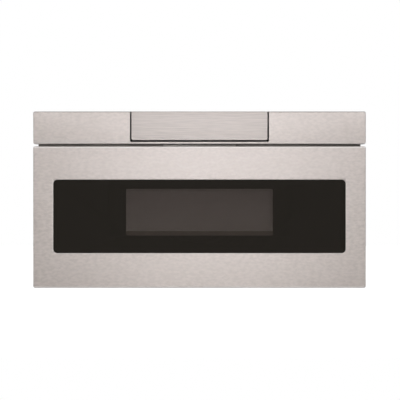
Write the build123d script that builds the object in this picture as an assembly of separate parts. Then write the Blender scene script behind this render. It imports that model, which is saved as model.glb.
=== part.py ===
from build123d import *
import os
from math import acos, cos, hypot, pi, radians, sin, tan

# Built-in microwave drawer, in millimetres.
# +X runs to the right as seen from the front, +Y into the cabinet, +Z up.
# The origin is the centre of the underside of the case's base plate.

# ---------------------------------------------------------------- driving dimensions
# The face as seen from the front
face_width = 758.8
strip_height = 74.2
face_gap = 5.2
drawer_face_height = 322.8
face_drop = 12.7
face_depth = 57.0
face_sheet = 1.2
face_return = 30.0
face_corner_radius = 4.0
face_edge_radius = 2.5

# Black glass in the drawer face, and the window behind it
glass_width = 665.4
glass_height = 166.0
glass_below_face_top = 76.9
glass_radius = 8.5
glass_thickness = 4.0
glass_clearance = 0.8
glass_recess = 0.4
window_width = 335.7
window_height = 107.0
window_below_glass_top = 19.8
retainer_thickness = 4.0
retainer_margin = 7.0
screen_thickness = 0.8
screen_behind_glass = 10.0
screen_overlap = 6.0

# Tilting control flap
flap_width = 310.2
flap_side_seam = 3.4
flap_bottom_seam = 4.4
lip_height = 4.7
flap_sheet = 1.2
flap_corner_radius = 3.5
tilt_pivot_behind_face = 6.0
tilt_pivot_above_edge = 4.0
trunnion_radius = 3.0
wedge_side_gap = 8.5
wedge_roof_gap = 1.2
wedge_rear_gap = 0.8
wedge_bottom_rise = 6.0
housing_wall = 2.0
housing_roof = 2.4
roof_setback = 2.5
key_glass_thickness = 2.0
key_glass_margin = 4.0
board_thickness = 1.6
board_drop = 9.0
display_width = 70.0
display_depth = 24.0
chip_width = 20.0
chip_depth = 14.0
chip_height = 2.5
wedge_toe_rise = 0.5
wedge_toe_depth = 8.0

# Gearing of the tilt drive: a sector moulded on the wedge and a pinion on the tilt motor
tilt_module = 1.0
sector_teeth = 45
tilt_pinion_teeth = 15
tilt_pinion_direction = 60.0
sector_before = 58.0
sector_after = 14.0
sector_thickness = 4.0
tilt_motor_radius = 11.0
tilt_motor_length = 34.0
tilt_shaft_radius = 2.0

# Outer case and mounting frame
case_width = 705.0
case_height = 371.0
case_depth = 589.0
panel_sheet = 1.0
base_sheet = 1.2
panel_flange = 12.0
frame_sheet = 1.5
frame_rise = 12.0
flange_width = 741.0
flange_drop = 11.0
flange_top = 388.0
flange_land = 17.0
flange_hole_radius = 2.5
flange_hole_inset = 7.5
flange_hole_low = 40.0
flange_hole_high = 340.0
case_seat = 0.5
case_seat_gap = 0.5
vent_rows = 8
vent_pitch = 12.0
vent_slot = 4.0
vent_length = 60.0
vent_from_rear = 50.0
vent_low_share = 0.45
intake_rows = 9
intake_pitch = 11.0
intake_slot = 5.0
intake_rib = 4.0

# Drawer bin and oven cavity
drawer_inside_width = 440.0
drawer_inside_height = 181.0
drawer_inside_depth = 421.0
bin_wall = 2.0
bin_wall_height = 140.0
bin_frame_height = 8.0
bin_side_clearance = 4.0
bin_floor_clearance = 4.0
bin_rear_clearance = 7.0
tray_thickness = 4.0
tray_clearance = 0.3
tray_ledge = 9.0
cavity_sheet = 1.0
door_gap = 1.0
choke_width = 22.0
choke_sheet = 1.2
choke_cover_thickness = 2.0
choke_depth = 14.0
slide_choke_gap = 1.0
inner_window_thickness = 4.0
inner_plate_sheet = 1.2

# Slides
drawer_travel = 381.0
slide_height = 45.7
slide_depth = 12.7
slide_sheet = 1.4
slide_length = 460.0
slide_member_length = 440.0
slide_setback = 4.0
slide_centre_height = 132.0
ball_radius = 1.5
ball_clearance = 0.1
ball_count = 5
cage_length = 216.0
cage_sheet = 0.6
slide_tab_length = 40.0

# Rack drive under the cavity
rack_module = 1.5
rack_height = 12.0
rack_back = 14.0
pinion_teeth = 20
gear_backlash = 0.22
guide_floor = 3.0
guide_rail = 4.0
running_clearance = 0.3
drive_behind_frame = 62.0
rack_spare = 27.0
motor_lift = 3.0
gearbox_height = 24.0
gearbox_width = 60.0
motor_radius = 19.0
motor_height = 26.0
shaft_radius = 4.0
shaft_clearance = 0.05

# Stirrer, waveguide and magnetron
stirrer_motor_height = 17.0
stirrer_motor_radius = 24.0
duct_height = 24.0
duct_width = 90.0
bowl_depth = 17.0
bowl_radius = 92.0
stirrer_radius = 78.0
stirrer_sheet = 1.0
feed_radius = 30.0
cover_thickness = 4.0
magnetron_width = 84.0
magnetron_depth = 72.0
magnetron_height = 76.0
magnetron_from_cavity = 52.0
fin_count = 7

# Fan, power parts and small fittings
fan_radius = 56.0
fan_shroud_size = 128.0
fan_shroud_depth = 34.0
fan_tip_clearance = 3.0
fan_blade_count = 7
fan_offset = 200.0
fan_centre_height = 150.0
fan_motor_radius = 26.0
fan_motor_length = 30.0
transformer_width = 104.0
transformer_depth = 66.0
transformer_height = 88.0
transformer_offset = 210.0
capacitor_height = 96.0
capacitor_width = 52.0
capacitor_thickness = 34.0
lamp_offset = 140.0
lamp_below_roof = 40.0
lamp_size = 44.0
lamp_depth = 46.0
lamp_wall = 2.0
lamp_hole_pitch = 6.0
lamp_hole_radius = 1.5
bulb_radius = 9.0
bulb_length = 28.0
filter_width = 100.0
filter_depth = 70.0
filter_post_height = 12.0
filter_post_inset = 6.0
filter_post_radius = 3.0
coil_radius = 14.0
coil_bore_radius = 7.0
coil_height = 16.0
coil_from_centre = 22.0
film_capacitor_width = 26.0
film_capacitor_depth = 20.0
film_capacitor_height = 18.0
film_capacitor_from_centre = 17.0
gland_radius = 8.0
gland_offset = 250.0
gland_centre_height = 60.0
bumper_radius = 3.5
bumper_offset = 120.0
switch_offset = 190.0
switch_width = 12.0
switch_height = 28.0
switch_length = 28.0
plunger_radius = 1.6
plunger_reach = 4.0
tab_width = 8.0
tab_height = 6.0
case_screw_radius = 2.0

# ---------------------------------------------------------------- worked-out places
half_face = face_width / 2
case_front = -case_depth / 2
case_rear = case_depth / 2
half_case = case_width / 2
sheet_front = case_front - case_seat
face_front = case_front - face_depth
frame_front = case_front - frame_rise
door_rear = frame_front - door_gap

face_bottom = -face_drop
drawer_face_top = face_bottom + drawer_face_height
strip_bottom = drawer_face_top + face_gap
strip_top = strip_bottom + strip_height
glass_top = drawer_face_top - glass_below_face_top
glass_middle = glass_top - glass_height / 2
window_top = glass_top - window_below_glass_top
window_bottom = window_top - window_height
window_middle = (window_top + window_bottom) / 2

rack_bottom = base_sheet + guide_floor + running_clearance
rack_top = rack_bottom + rack_height
motor_floor = rack_top + motor_lift
duct_bottom = motor_floor + stirrer_motor_height
duct_top = duct_bottom + duct_height
cavity_floor_top = duct_top + bowl_depth
bin_bottom = cavity_floor_top + bin_floor_clearance
tray_top = bin_bottom + bin_frame_height
cavity_roof_under = tray_top + drawer_inside_height

half_inside = drawer_inside_width / 2
half_bin = half_inside + bin_wall
half_cavity = half_bin + bin_side_clearance
bin_rear_face = door_rear + drawer_inside_depth
cavity_rear = bin_rear_face + bin_wall + bin_rear_clearance
cavity_middle = (frame_front + cavity_rear) / 2
mouth_top = cavity_roof_under

drive_y = frame_front + drive_behind_frame
pinion_radius = rack_module * pinion_teeth / 2
rack_pitch = pi * rack_module
pitch_line = rack_back / 2 + 1.25 * rack_module
pinion_x = pitch_line + pinion_radius

flap_bottom = strip_bottom + lip_height + flap_bottom_seam
flap_height = strip_top - flap_bottom
half_flap_opening = flap_width / 2 + flap_side_seam
pivot_y = face_front + tilt_pivot_behind_face
pivot_z = flap_bottom + tilt_pivot_above_edge
half_wedge = half_flap_opening - wedge_side_gap
roof_under = strip_top - housing_roof
wedge_height = roof_under - wedge_roof_gap - pivot_z
wedge_depth = sheet_front - housing_wall - wedge_rear_gap - pivot_y
wedge_back_height = (wedge_height ** 2 - wedge_depth ** 2) ** 0.5

slide_inner_x = half_inside + choke_width + slide_choke_gap - (slide_depth - slide_sheet)
tab_z = mouth_top + choke_width + 4
tab_end = case_front + 5
slide_front = case_front + slide_setback
magnetron_y = cavity_rear + magnetron_from_cavity


# ---------------------------------------------------------------- common shapes
def block(x0, x1, y0, y1, z0, z1):
    """A box between two corners."""
    return Pos((x0 + x1) / 2, (y0 + y1) / 2, (z0 + z1) / 2) * Box(x1 - x0, y1 - y0, z1 - z0)


def wide_block(half_width, y0, y1, z0, z1):
    """A box centred on the middle plane."""
    return block(-half_width, half_width, y0, y1, z0, z1)


def rod_x(radius, x0, x1, y, z):
    return Pos((x0 + x1) / 2, y, z) * Rot(0, 90, 0) * Cylinder(radius, x1 - x0)


def rod_y(radius, y0, y1, x, z):
    return Pos(x, (y0 + y1) / 2, z) * Rot(90, 0, 0) * Cylinder(radius, y1 - y0)


def rod_z(radius, z0, z1, x, y):
    return Pos(x, y, (z0 + z1) / 2) * Cylinder(radius, z1 - z0)


def rounded_panel(width, height, radius, y0, y1, z_middle):
    """An upright panel with rounded corners, from y0 at the front to y1 at the rear."""
    section = Plane(origin=(0, y1, z_middle), x_dir=(1, 0, 0), z_dir=(0, -1, 0))
    return extrude(section * RectangleRounded(width, height, radius), amount=y1 - y0)


def mirrored(piece):
    """The same piece on the left side."""
    return mirror(piece, about=Plane.YZ)


def pair(piece):
    """A right-hand piece and its left-hand twin, as two solids."""
    return [piece, mirrored(piece)]


def steel_tray(half_width, z0, z1, depth, sheet):
    """A pressed face: a front plate with its four edges rolled back."""
    height = z1 - z0
    middle = (z0 + z1) / 2
    rear = face_front + depth
    outer = rounded_panel(2 * half_width, height, face_corner_radius, face_front, rear, middle)
    front_edges = outer.faces().sort_by(Axis.Y)[0].edges()
    outer = fillet(front_edges, face_edge_radius)
    inner = rounded_panel(
        2 * (half_width - sheet), height - 2 * sheet, face_corner_radius - sheet,
        face_front + sheet, rear, middle)
    inner_edges = inner.faces().sort_by(Axis.Y)[0].edges()
    inner = fillet(inner_edges, face_edge_radius - sheet)
    return outer - inner


# ---------------------------------------------------------------- gears
def involute(angle):
    return tan(angle) - angle


def gear_outline(teeth, module_size, tooth_height, phase):
    """Points round a spur gear; phase is the direction of one tooth's middle, in degrees."""
    pitch_radius = teeth * module_size / 2
    base_radius = pitch_radius * cos(radians(20))
    tip_radius = pitch_radius + tooth_height * module_size
    root_radius = pitch_radius - 1.25 * module_size
    half_tooth = pi / (2 * teeth) - gear_backlash / (2 * pitch_radius) + involute(radians(20))
    flank_start = max(base_radius, root_radius)
    flank = []
    for step in range(4):
        radius = flank_start + (tip_radius - flank_start) * step / 3
        flank.append((radius, half_tooth - involute(acos(base_radius / radius))))
    points = []
    for tooth in range(teeth):
        middle = radians(phase) + 2 * pi * tooth / teeth
        side = list(flank)
        if base_radius > root_radius:
            side.insert(0, (root_radius, flank[0][1]))
        for radius, angle in side:
            points.append((radius * cos(middle - angle), radius * sin(middle - angle)))
        for radius, angle in reversed(side):
            points.append((radius * cos(middle + angle), radius * sin(middle + angle)))
    return points


def spur_gear(teeth, module_size, tooth_height, phase, thickness):
    """A spur gear standing on the XY plane."""
    outline = Polyline(*gear_outline(teeth, module_size, tooth_height, phase), close=True)
    return extrude(make_face(outline), amount=thickness)


# ---------------------------------------------------------------- outer case
def base_plate():
    plate = wide_block(half_case, case_front, case_rear, 0, base_sheet)
    rear_lip = wide_block(
        half_case - panel_sheet, case_rear - 2 * panel_sheet, case_rear - panel_sheet,
        base_sheet, base_sheet + panel_flange)
    return plate + rear_lip


def case_side_right():
    """Side panel with an inward flange at the front and at the rear, and a row of vents."""
    top = case_height - panel_sheet
    inner = half_case - panel_sheet
    panel = block(inner, half_case, sheet_front, case_rear, base_sheet, top)
    front_flange = block(
        inner - panel_flange, inner, sheet_front, sheet_front + panel_sheet, base_sheet, top)
    rear_flange = block(
        inner - panel_flange, inner, case_rear - 2 * panel_sheet, case_rear - panel_sheet,
        base_sheet + panel_flange, top)
    side = panel + front_flange + rear_flange
    slot_rear = case_rear - vent_from_rear
    for row in range(vent_rows):
        slot_z = case_height * vent_low_share + row * vent_pitch
        side -= block(
            inner - 1, half_case + 1, slot_rear - vent_length, slot_rear, slot_z, slot_z + vent_slot)
    return side


def case_top_panel():
    return wide_block(half_case, sheet_front, case_rear, case_height - panel_sheet, case_height)


def back_plate():
    """Rear panel with the fan's intake slots, the screw holes and the cord gland's hole."""
    plate = wide_block(
        half_case - panel_sheet, case_rear - panel_sheet, case_rear,
        base_sheet, case_height - panel_sheet)
    for row in range(intake_rows):
        drop = (row - (intake_rows - 1) / 2) * intake_pitch
        slot_z = fan_centre_height + drop
        slot_length = (fan_radius ** 2 - drop ** 2) ** 0.5 - intake_rib
        for side in (-1, 1):
            centre = fan_offset + side * (slot_length + intake_rib) / 2
            plate -= block(
                centre - slot_length / 2, centre + slot_length / 2, case_rear - 3, case_rear + 1,
                slot_z - intake_slot / 2, slot_z + intake_slot / 2)
    for x, z in case_screw_places():
        plate -= rod_y(case_screw_radius, case_rear - 3, case_rear + 1, x, z)
    plate -= rod_y(gland_radius, case_rear - 3, case_rear + 1, -gland_offset, gland_centre_height)
    return plate


def case_screw_places():
    """Screw centres in the middle of the side panels' rear flanges."""
    x = half_case - panel_sheet - panel_flange / 2
    low = base_sheet + 2 * panel_flange
    high = case_height - 2 * panel_flange
    return [(side * x, low + step * (high - low) / 3) for side in (-1, 1) for step in range(4)]


def case_screws():
    """Eight pan-head screws that hold the back plate to the side panels' flanges."""
    screws = []
    for x, z in case_screw_places():
        head = rod_y(2 * case_screw_radius, case_rear, case_rear + case_screw_radius, x, z)
        shank = rod_y(case_screw_radius - shaft_clearance, case_rear - panel_sheet, case_rear, x, z)
        screws.append(head + shank)
    return screws


def front_frame():
    """Pressed mounting frame: a screw flange round a raised panel, with the drawer's openings.

    A shallow step in its back seats the front edges of the case's sheets.
    """
    half_raised = flange_width / 2 - flange_land
    flange = wide_block(
        flange_width / 2, case_front - frame_sheet, case_front, -flange_drop, flange_top)
    raised = wide_block(half_raised, frame_front, case_front, 0, flange_top)
    hollow = wide_block(
        half_raised - frame_sheet, frame_front + frame_sheet, case_front,
        frame_sheet, flange_top - frame_sheet)
    case_step = wide_block(
        half_case + case_seat_gap, sheet_front, case_front + 1,
        -case_seat_gap, case_height + case_seat_gap)
    frame = flange + raised - hollow - case_step
    through = (frame_front - 1, case_front + 1)
    frame -= wide_block(half_cavity, *through, cavity_floor_top, mouth_top)
    frame -= wide_block(
        half_flap_opening + housing_wall + running_clearance, *through, strip_bottom, flange_top + 1)
    slot_low = slide_centre_height - slide_height / 2 - 2
    slot_high = slide_centre_height + slide_height / 2 + 2
    frame -= block(
        slide_inner_x + 1, slide_inner_x + slide_depth + 3, *through, slot_low, slot_high)
    frame -= block(
        -slide_inner_x - slide_depth - 3, -slide_inner_x - 1, *through, slot_low, slot_high)
    frame -= block(
        -rack_back / 2 - 3, pitch_line + 2 * rack_module + 3, *through, rack_bottom - 2, rack_top + 3)
    for side in (-1, 1):
        centre = side * switch_offset
        frame -= block(
            centre - tab_width, centre + tab_width, *through,
            tab_z - tab_height, tab_z + tab_height)
        for z in (flange_hole_low, flange_hole_high):
            hole_x = side * (flange_width / 2 - flange_hole_inset)
            frame -= rod_y(flange_hole_radius, *through, hole_x, z)
    return frame


# ---------------------------------------------------------------- oven cavity
def cavity_floor():
    """Cavity floor with the round bowl that the stirrer turns in and the ledge of its cover."""
    top = cavity_floor_top
    plate = wide_block(
        half_cavity + cavity_sheet, frame_front + frame_sheet, cavity_rear + cavity_sheet,
        top - cavity_sheet, top)
    bowl = rod_z(bowl_radius + cavity_sheet, duct_top, top - cavity_sheet, 0, cavity_middle)
    bowl_inside = rod_z(bowl_radius, duct_top + cavity_sheet, top + 1, 0, cavity_middle)
    ledge = rod_z(
        bowl_radius, top - cover_thickness - cavity_sheet, top - cover_thickness, 0, cavity_middle)
    ledge -= rod_z(bowl_radius - 5, duct_top, top, 0, cavity_middle)
    feed = rod_z(feed_radius, duct_top - 1, duct_top + 3, 0, cavity_middle)
    return plate + bowl - bowl_inside - feed + ledge


def cavity_roof():
    return wide_block(
        half_cavity + cavity_sheet, frame_front + frame_sheet, cavity_rear + cavity_sheet,
        cavity_roof_under, cavity_roof_under + cavity_sheet)


def cavity_side_right():
    return block(
        half_cavity, half_cavity + cavity_sheet, frame_front + frame_sheet,
        cavity_rear + cavity_sheet, cavity_floor_top, cavity_roof_under)


def cavity_back():
    """Back of the cavity, with the lamp's light holes."""
    plate = wide_block(
        half_cavity, cavity_rear, cavity_rear + cavity_sheet, cavity_floor_top, cavity_roof_under)
    for column in range(-2, 3):
        for row in range(-2, 3):
            plate -= rod_y(
                lamp_hole_radius, cavity_rear - 1, cavity_rear + cavity_sheet + 1,
                lamp_offset + column * lamp_hole_pitch,
                cavity_roof_under - lamp_below_roof + row * lamp_hole_pitch)
    return plate


def stirrer_cover():
    """Ceramic disc that closes the stirrer's bowl, flush with the cavity floor."""
    return rod_z(
        bowl_radius - running_clearance, cavity_floor_top - cover_thickness, cavity_floor_top,
        0, cavity_middle)


def oven_lamp():
    """Lamp housing on the outside of the cavity's back, with its bulb inside."""
    z = cavity_roof_under - lamp_below_roof
    front = cavity_rear + cavity_sheet
    rear = front + lamp_depth
    half = lamp_size / 2
    inside = half - lamp_wall
    shell = block(lamp_offset - half, lamp_offset + half, front, rear, z - half, z + half)
    shell -= block(
        lamp_offset - inside, lamp_offset + inside, front - 1, rear - lamp_wall,
        z - inside, z + inside)
    bulb_rear = rear - 3 * lamp_wall
    bulb = rod_y(bulb_radius, bulb_rear - bulb_length, bulb_rear, lamp_offset, z)
    base = rod_y(bulb_radius - 3, bulb_rear, rear + 2 * lamp_wall, lamp_offset, z)
    return shell + bulb + base


# ---------------------------------------------------------------- stirrer and microwave source
def stirrer():
    """Mode stirrer: three tilted vanes on a shaft that comes up through the waveguide."""
    middle = (duct_top + cavity_floor_top - cover_thickness) / 2
    turning = rod_z(
        shaft_radius - 1, motor_floor + stirrer_motor_height / 2, middle + 3, 0, cavity_middle)
    turning += rod_z(9, middle - 3, middle + 3, 0, cavity_middle)
    for vane in range(3):
        length = stirrer_radius - 6
        blade = Pos(6 + length / 2, 0, 0) * Rot(6, 0, 0) * Box(length, 34, stirrer_sheet)
        turning += Pos(0, cavity_middle, middle) * Rot(0, 0, 120 * vane) * blade
    return turning


def stirrer_motor():
    can = rod_z(stirrer_motor_radius, motor_floor, duct_bottom, 0, cavity_middle)
    return can - rod_z(
        shaft_radius - 1 + shaft_clearance, motor_floor + 3, duct_bottom + 1, 0, cavity_middle)


def waveguide():
    """Rectangular duct from the magnetron forward to the stirrer, under the cavity floor."""
    front = cavity_middle - duct_width / 2
    rear = magnetron_y + magnetron_depth / 2
    duct = wide_block(duct_width / 2, front, rear, duct_bottom, duct_top)
    duct -= wide_block(
        duct_width / 2 - panel_sheet, front + panel_sheet, rear - panel_sheet,
        duct_bottom + panel_sheet, duct_top - panel_sheet)
    duct -= rod_z(feed_radius, duct_top - 3, duct_top + 1, 0, cavity_middle)
    duct -= rod_z(shaft_radius, duct_bottom - 1, duct_bottom + 3, 0, cavity_middle)
    duct -= rod_z(12, duct_top - 3, duct_top + 1, 0, magnetron_y)
    return duct


def magnetron():
    """Yoke with a stack of cooling fins round the tube, the filter box above, the antenna below."""
    z0 = duct_top
    z1 = duct_top + magnetron_height
    half = magnetron_width / 2
    y0 = magnetron_y - magnetron_depth / 2
    y1 = magnetron_y + magnetron_depth / 2
    yoke = wide_block(half, y0, y1, z0, z1) - wide_block(half - 2, y0 - 1, y1 + 1, z0 + 3, z1 - 3)
    tube = rod_z(20, z0 + 2, z1 - 2, 0, magnetron_y)
    source = yoke + tube
    for fin in range(fin_count):
        z = z0 + (fin + 1) * magnetron_height / (fin_count + 1)
        source += wide_block(half - 1, y0 + 4, y1 - 4, z, z + 0.8)
    antenna = rod_z(8, duct_top - duct_height + 6, z0 + 1, 0, magnetron_y)
    filter_box = wide_block(half * 0.7, y0 + 6, y1 - 6, z1 - 1, z1 + 36)
    return source + antenna + filter_box


# ---------------------------------------------------------------- fan and power parts
def fan_blades():
    """Axial fan rotor: a hub with pitched blades, on the motor's shaft."""
    y = case_rear - panel_sheet - fan_shroud_depth / 2
    hub = rod_y(17, y - 9, y + 9, 0, 0)
    rotor = hub
    for blade in range(fan_blade_count):
        length = fan_radius - 14
        vane = Pos(14 + length / 2, 0, 0) * Rot(34, 0, 0) * Box(length, 24, 1.6)
        rotor += Pos(0, y, 0) * Rot(0, 360 * blade / fan_blade_count, 0) * vane
    motor_face = case_rear - panel_sheet - fan_shroud_depth - 2
    rotor += rod_y(3, motor_face - fan_motor_length / 2, y, 0, 0)
    return Pos(fan_offset, 0, fan_centre_height) * rotor


def fan_shroud():
    """Square duct round the rotor, with a three-armed bracket that carries the motor."""
    half = fan_shroud_size / 2
    y1 = case_rear - panel_sheet
    y0 = y1 - fan_shroud_depth
    shroud = block(-half, half, y0, y1, -half, half)
    shroud -= rod_y(fan_radius + fan_tip_clearance, y0 - 1, y1 + 1, 0, 0)
    for arm in range(3):
        bar = block(0, half - 2, y0 - 2, y0 + 1, -5, 5)
        shroud += Rot(0, 90 + 120 * arm, 0) * bar
    shroud -= rod_y(5, y0 - 3, y0 + 2, 0, 0)
    return Pos(fan_offset, 0, fan_centre_height) * shroud


def fan_motor():
    y1 = case_rear - panel_sheet - fan_shroud_depth - 2
    can = rod_y(fan_motor_radius, y1 - fan_motor_length, y1, 0, 0)
    can -= rod_y(3 + shaft_clearance, y1 - fan_motor_length / 2 - 1, y1 + 1, 0, 0)
    return Pos(fan_offset, 0, fan_centre_height) * can


def power_transformer():
    """Laminated core on the base plate with two windings standing proud of it."""
    y = magnetron_y
    half = transformer_width / 2
    z1 = base_sheet + transformer_height
    core = block(-half, half, y - transformer_depth / 2, y + transformer_depth / 2, base_sheet, z1)
    for low in (0.22, 0.56):
        z0 = base_sheet + transformer_height * low
        winding = block(
            -half * 0.62, half * 0.62, y - transformer_depth * 0.72, y + transformer_depth * 0.72,
            z0, z0 + transformer_height * 0.25)
        core += fillet(winding.edges().filter_by(Axis.Z), 10)
    return Pos(-transformer_offset, 0, 0) * core


def high_voltage_capacitor():
    """Oval can standing on the base plate, with its two blade terminals."""
    x = -transformer_offset - transformer_width / 2 - capacitor_width
    z1 = base_sheet + capacitor_height
    half_straight = (capacitor_width - capacitor_thickness) / 2
    can = Pos(x, magnetron_y, base_sheet) * extrude(
        SlotCenterToCenter(2 * half_straight, capacitor_thickness), amount=capacitor_height)
    for side in (-1, 1):
        centre = x + side * half_straight
        can += block(centre - 3, centre + 3, magnetron_y - 0.4, magnetron_y + 0.4, z1 - 1, z1 + 12)
    return can


def filter_board():
    """Noise-filter board on four posts from the base plate, with its choke coil and capacitor."""
    x0 = fan_offset - filter_width / 2
    x1 = fan_offset + filter_width / 2
    y0 = magnetron_y - filter_depth / 2
    y1 = magnetron_y + filter_depth / 2
    z = base_sheet + filter_post_height
    top = z + board_thickness
    board = block(x0, x1, y0, y1, z, top)
    for x in (x0 + filter_post_inset, x1 - filter_post_inset):
        for y in (y0 + filter_post_inset, y1 - filter_post_inset):
            board += rod_z(filter_post_radius, base_sheet, z, x, y)
    coil_x = fan_offset - coil_from_centre
    coil = rod_z(coil_radius, top, top + coil_height, coil_x, magnetron_y)
    coil -= rod_z(coil_bore_radius, top, top + coil_height + 1, coil_x, magnetron_y)
    capacitor_x = fan_offset + film_capacitor_from_centre
    half_depth = film_capacitor_depth / 2
    capacitor = block(
        capacitor_x - film_capacitor_width / 2, capacitor_x + film_capacitor_width / 2,
        magnetron_y - half_depth, magnetron_y + half_depth, top, top + film_capacitor_height)
    return board + coil + capacitor


def cord_gland():
    """Moulded gland in the back plate; the supply cord itself isn't part of the model."""
    z = gland_centre_height
    flange = rod_y(gland_radius + 4, case_rear, case_rear + 3, -gland_offset, z)
    throat = rod_y(gland_radius - shaft_clearance, case_rear - 8, case_rear, -gland_offset, z)
    nut = rod_y(gland_radius + 3, case_rear - 8, case_rear - panel_sheet, -gland_offset, z)
    bore = rod_y(gland_radius - 3, case_rear - 12, case_rear + 5, -gland_offset, z)
    return flange + throat + nut - bore


# ---------------------------------------------------------------- slides
def slide_gap():
    """Height of the ball track between two nested members."""
    return 2 * ball_radius + 2 * ball_clearance


def slide_channel(x0, x1, half_height, length):
    """A C-shaped member from x0 to x1, with its web at x0 and its flanges above and below."""
    member = block(x0, x1, slide_front, slide_front + length, -half_height, half_height)
    inside = half_height - slide_sheet
    return member - block(
        x0 + slide_sheet, x1 + 1, slide_front - 1, slide_front + length + 1, -inside, inside)


def place_slide(piece):
    return Pos(slide_inner_x, 0, slide_centre_height) * piece


def slide_outer_right():
    """Fixed member, with three pads that stand its web off the cavity's side."""
    member = slide_channel(0, slide_depth, slide_height / 2, slide_length)
    pad_length = slide_length / 12
    for place in (0.1, 0.45, 0.8):
        front = slide_front + place * slide_length
        member += block(
            half_cavity + cavity_sheet - slide_inner_x, 0, front, front + pad_length,
            -slide_height / 4, slide_height / 4)
    return place_slide(member)


def slide_middle_right():
    """Middle member, which travels half as far as the drawer."""
    half = slide_height / 2 - slide_sheet - slide_gap()
    x0 = 2 * slide_sheet
    return place_slide(slide_channel(x0, slide_depth, half, slide_member_length))


def slide_inner_right():
    """Inner member, open towards the cavity, with a tab at its front that carries the door."""
    half = slide_height / 2 - 2 * slide_sheet - 2 * slide_gap()
    web = slide_depth - slide_sheet
    member = Pos(slide_depth, 0, 0) * mirrored(
        slide_channel(0, slide_depth - 4 * slide_sheet, half, slide_member_length))
    plate_rear = face_front + face_return - 3
    neck = block(web, slide_depth, plate_rear, slide_front + 1, -half, half)
    tab = block(
        web, slide_depth + slide_tab_length, plate_rear, plate_rear + slide_sheet, -half, half)
    return place_slide(member + neck + tab)


def ball_cage(x0, web_x1, x1, track_middle, front):
    """U-shaped ball retainer with a row of balls above and below; the balls are loose in it."""
    strip_half = cage_sheet / 2
    high = track_middle + strip_half
    cage = block(x0, web_x1, front, front + cage_length, -high, high)
    solids = []
    ball_x = (web_x1 + x1) / 2 + 0.4
    for side in (-1, 1):
        z = side * track_middle
        cage += block(x0, x1, front, front + cage_length, z - strip_half, z + strip_half)
        for ball in range(ball_count):
            y = front + (ball + 0.5) * cage_length / ball_count
            place = Pos(ball_x, y, z)
            cage -= place * Cylinder(ball_radius + ball_clearance, 4 * cage_sheet)
            solids.append(place_slide(place * Sphere(ball_radius)))
    return [place_slide(cage)] + solids


def outer_ball_cages():
    """Ball retainers between the fixed and the middle members, one in each slide."""
    track = slide_height / 2 - slide_sheet - slide_gap() / 2
    front = slide_front + 0.25 * drawer_travel + 10
    web0 = slide_sheet + 0.3
    web1 = 2 * slide_sheet - 0.3
    right = ball_cage(web0, web1, slide_depth - 1, track, front)
    return right + [mirrored(solid) for solid in right]


def inner_ball_cages():
    """Ball retainers between the middle and the inner members, one in each slide."""
    track = slide_height / 2 - 2 * slide_sheet - 1.5 * slide_gap()
    front = slide_front + 0.25 * drawer_travel + 10
    web0 = 3 * slide_sheet + 0.3
    web1 = 4 * slide_sheet - 0.3
    right = ball_cage(web0, web1, slide_depth - 1, track, front)
    return right + [mirrored(solid) for solid in right]


# ---------------------------------------------------------------- rack drive
def drive_rack():
    """Toothed bar along the middle, fixed to the door's inner plate and driven by the pinion."""
    front = face_front + face_return - 3
    rear = drive_y + drawer_travel + rack_spare
    root = pitch_line - 1.25 * rack_module
    tip = pitch_line + 0.9 * rack_module
    bar = block(-rack_back / 2, root, front, rear, rack_bottom, rack_top)
    half_pitch_width = rack_pitch / 4 - gear_backlash / 2
    slope = tan(radians(20))
    half_root = half_pitch_width + (pitch_line - root) * slope
    half_tip = half_pitch_width - (tip - pitch_line) * slope
    first = -int((drive_y - case_front) / rack_pitch)
    last = int((rear - drive_y) / rack_pitch) - 1
    outline = [(root - 1, drive_y + (first - 0.5) * rack_pitch)]
    for tooth in range(first, last):
        y = drive_y + (tooth + 0.5) * rack_pitch
        outline.append((root, y - half_root))
        outline.append((tip, y - half_tip))
        outline.append((tip, y + half_tip))
        outline.append((root, y + half_root))
    outline.append((root - 1, drive_y + (last + 0.5) * rack_pitch))
    teeth = extrude(make_face(Polyline(*outline, close=True)), amount=rack_height)
    return bar + Pos(0, 0, rack_bottom) * teeth


def rack_guide():
    """Channel on the base plate that the rack slides in, open on the pinion's side."""
    front = case_front + 2
    rear = drive_y + drawer_travel + rack_spare + 10
    tip = pitch_line + rack_module + running_clearance
    inner = -rack_back / 2 - running_clearance
    floor = block(inner - guide_rail, tip + guide_rail, front, rear, base_sheet, base_sheet + guide_floor)
    left_rail = block(inner - guide_rail, inner, front, rear, base_sheet, rack_bottom + rack_height / 2)
    guide = floor + left_rail
    opening = pinion_radius + rack_module + 2
    right_rail = block(
        tip, tip + guide_rail, drive_y + opening, rear, base_sheet, rack_bottom + rack_height / 2)
    front_rail = block(
        tip, tip + guide_rail, front, drive_y - opening, base_sheet, rack_bottom + rack_height / 2)
    shaft_well = rod_z(shaft_radius + 1, base_sheet - 1, rack_bottom, pinion_x, drive_y)
    return guide + right_rail + front_rail - shaft_well


def drive_pinion():
    """Pinion and its shaft, hanging from the gearmotor above the rack."""
    gear = spur_gear(pinion_teeth, rack_module, 0.9, 0, rack_height - 2)
    shaft = rod_z(shaft_radius, 0, motor_floor + gearbox_height / 2 - rack_bottom - 1, 0, 0)
    return Pos(pinion_x, drive_y, rack_bottom + 1) * (gear + shaft)


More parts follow.
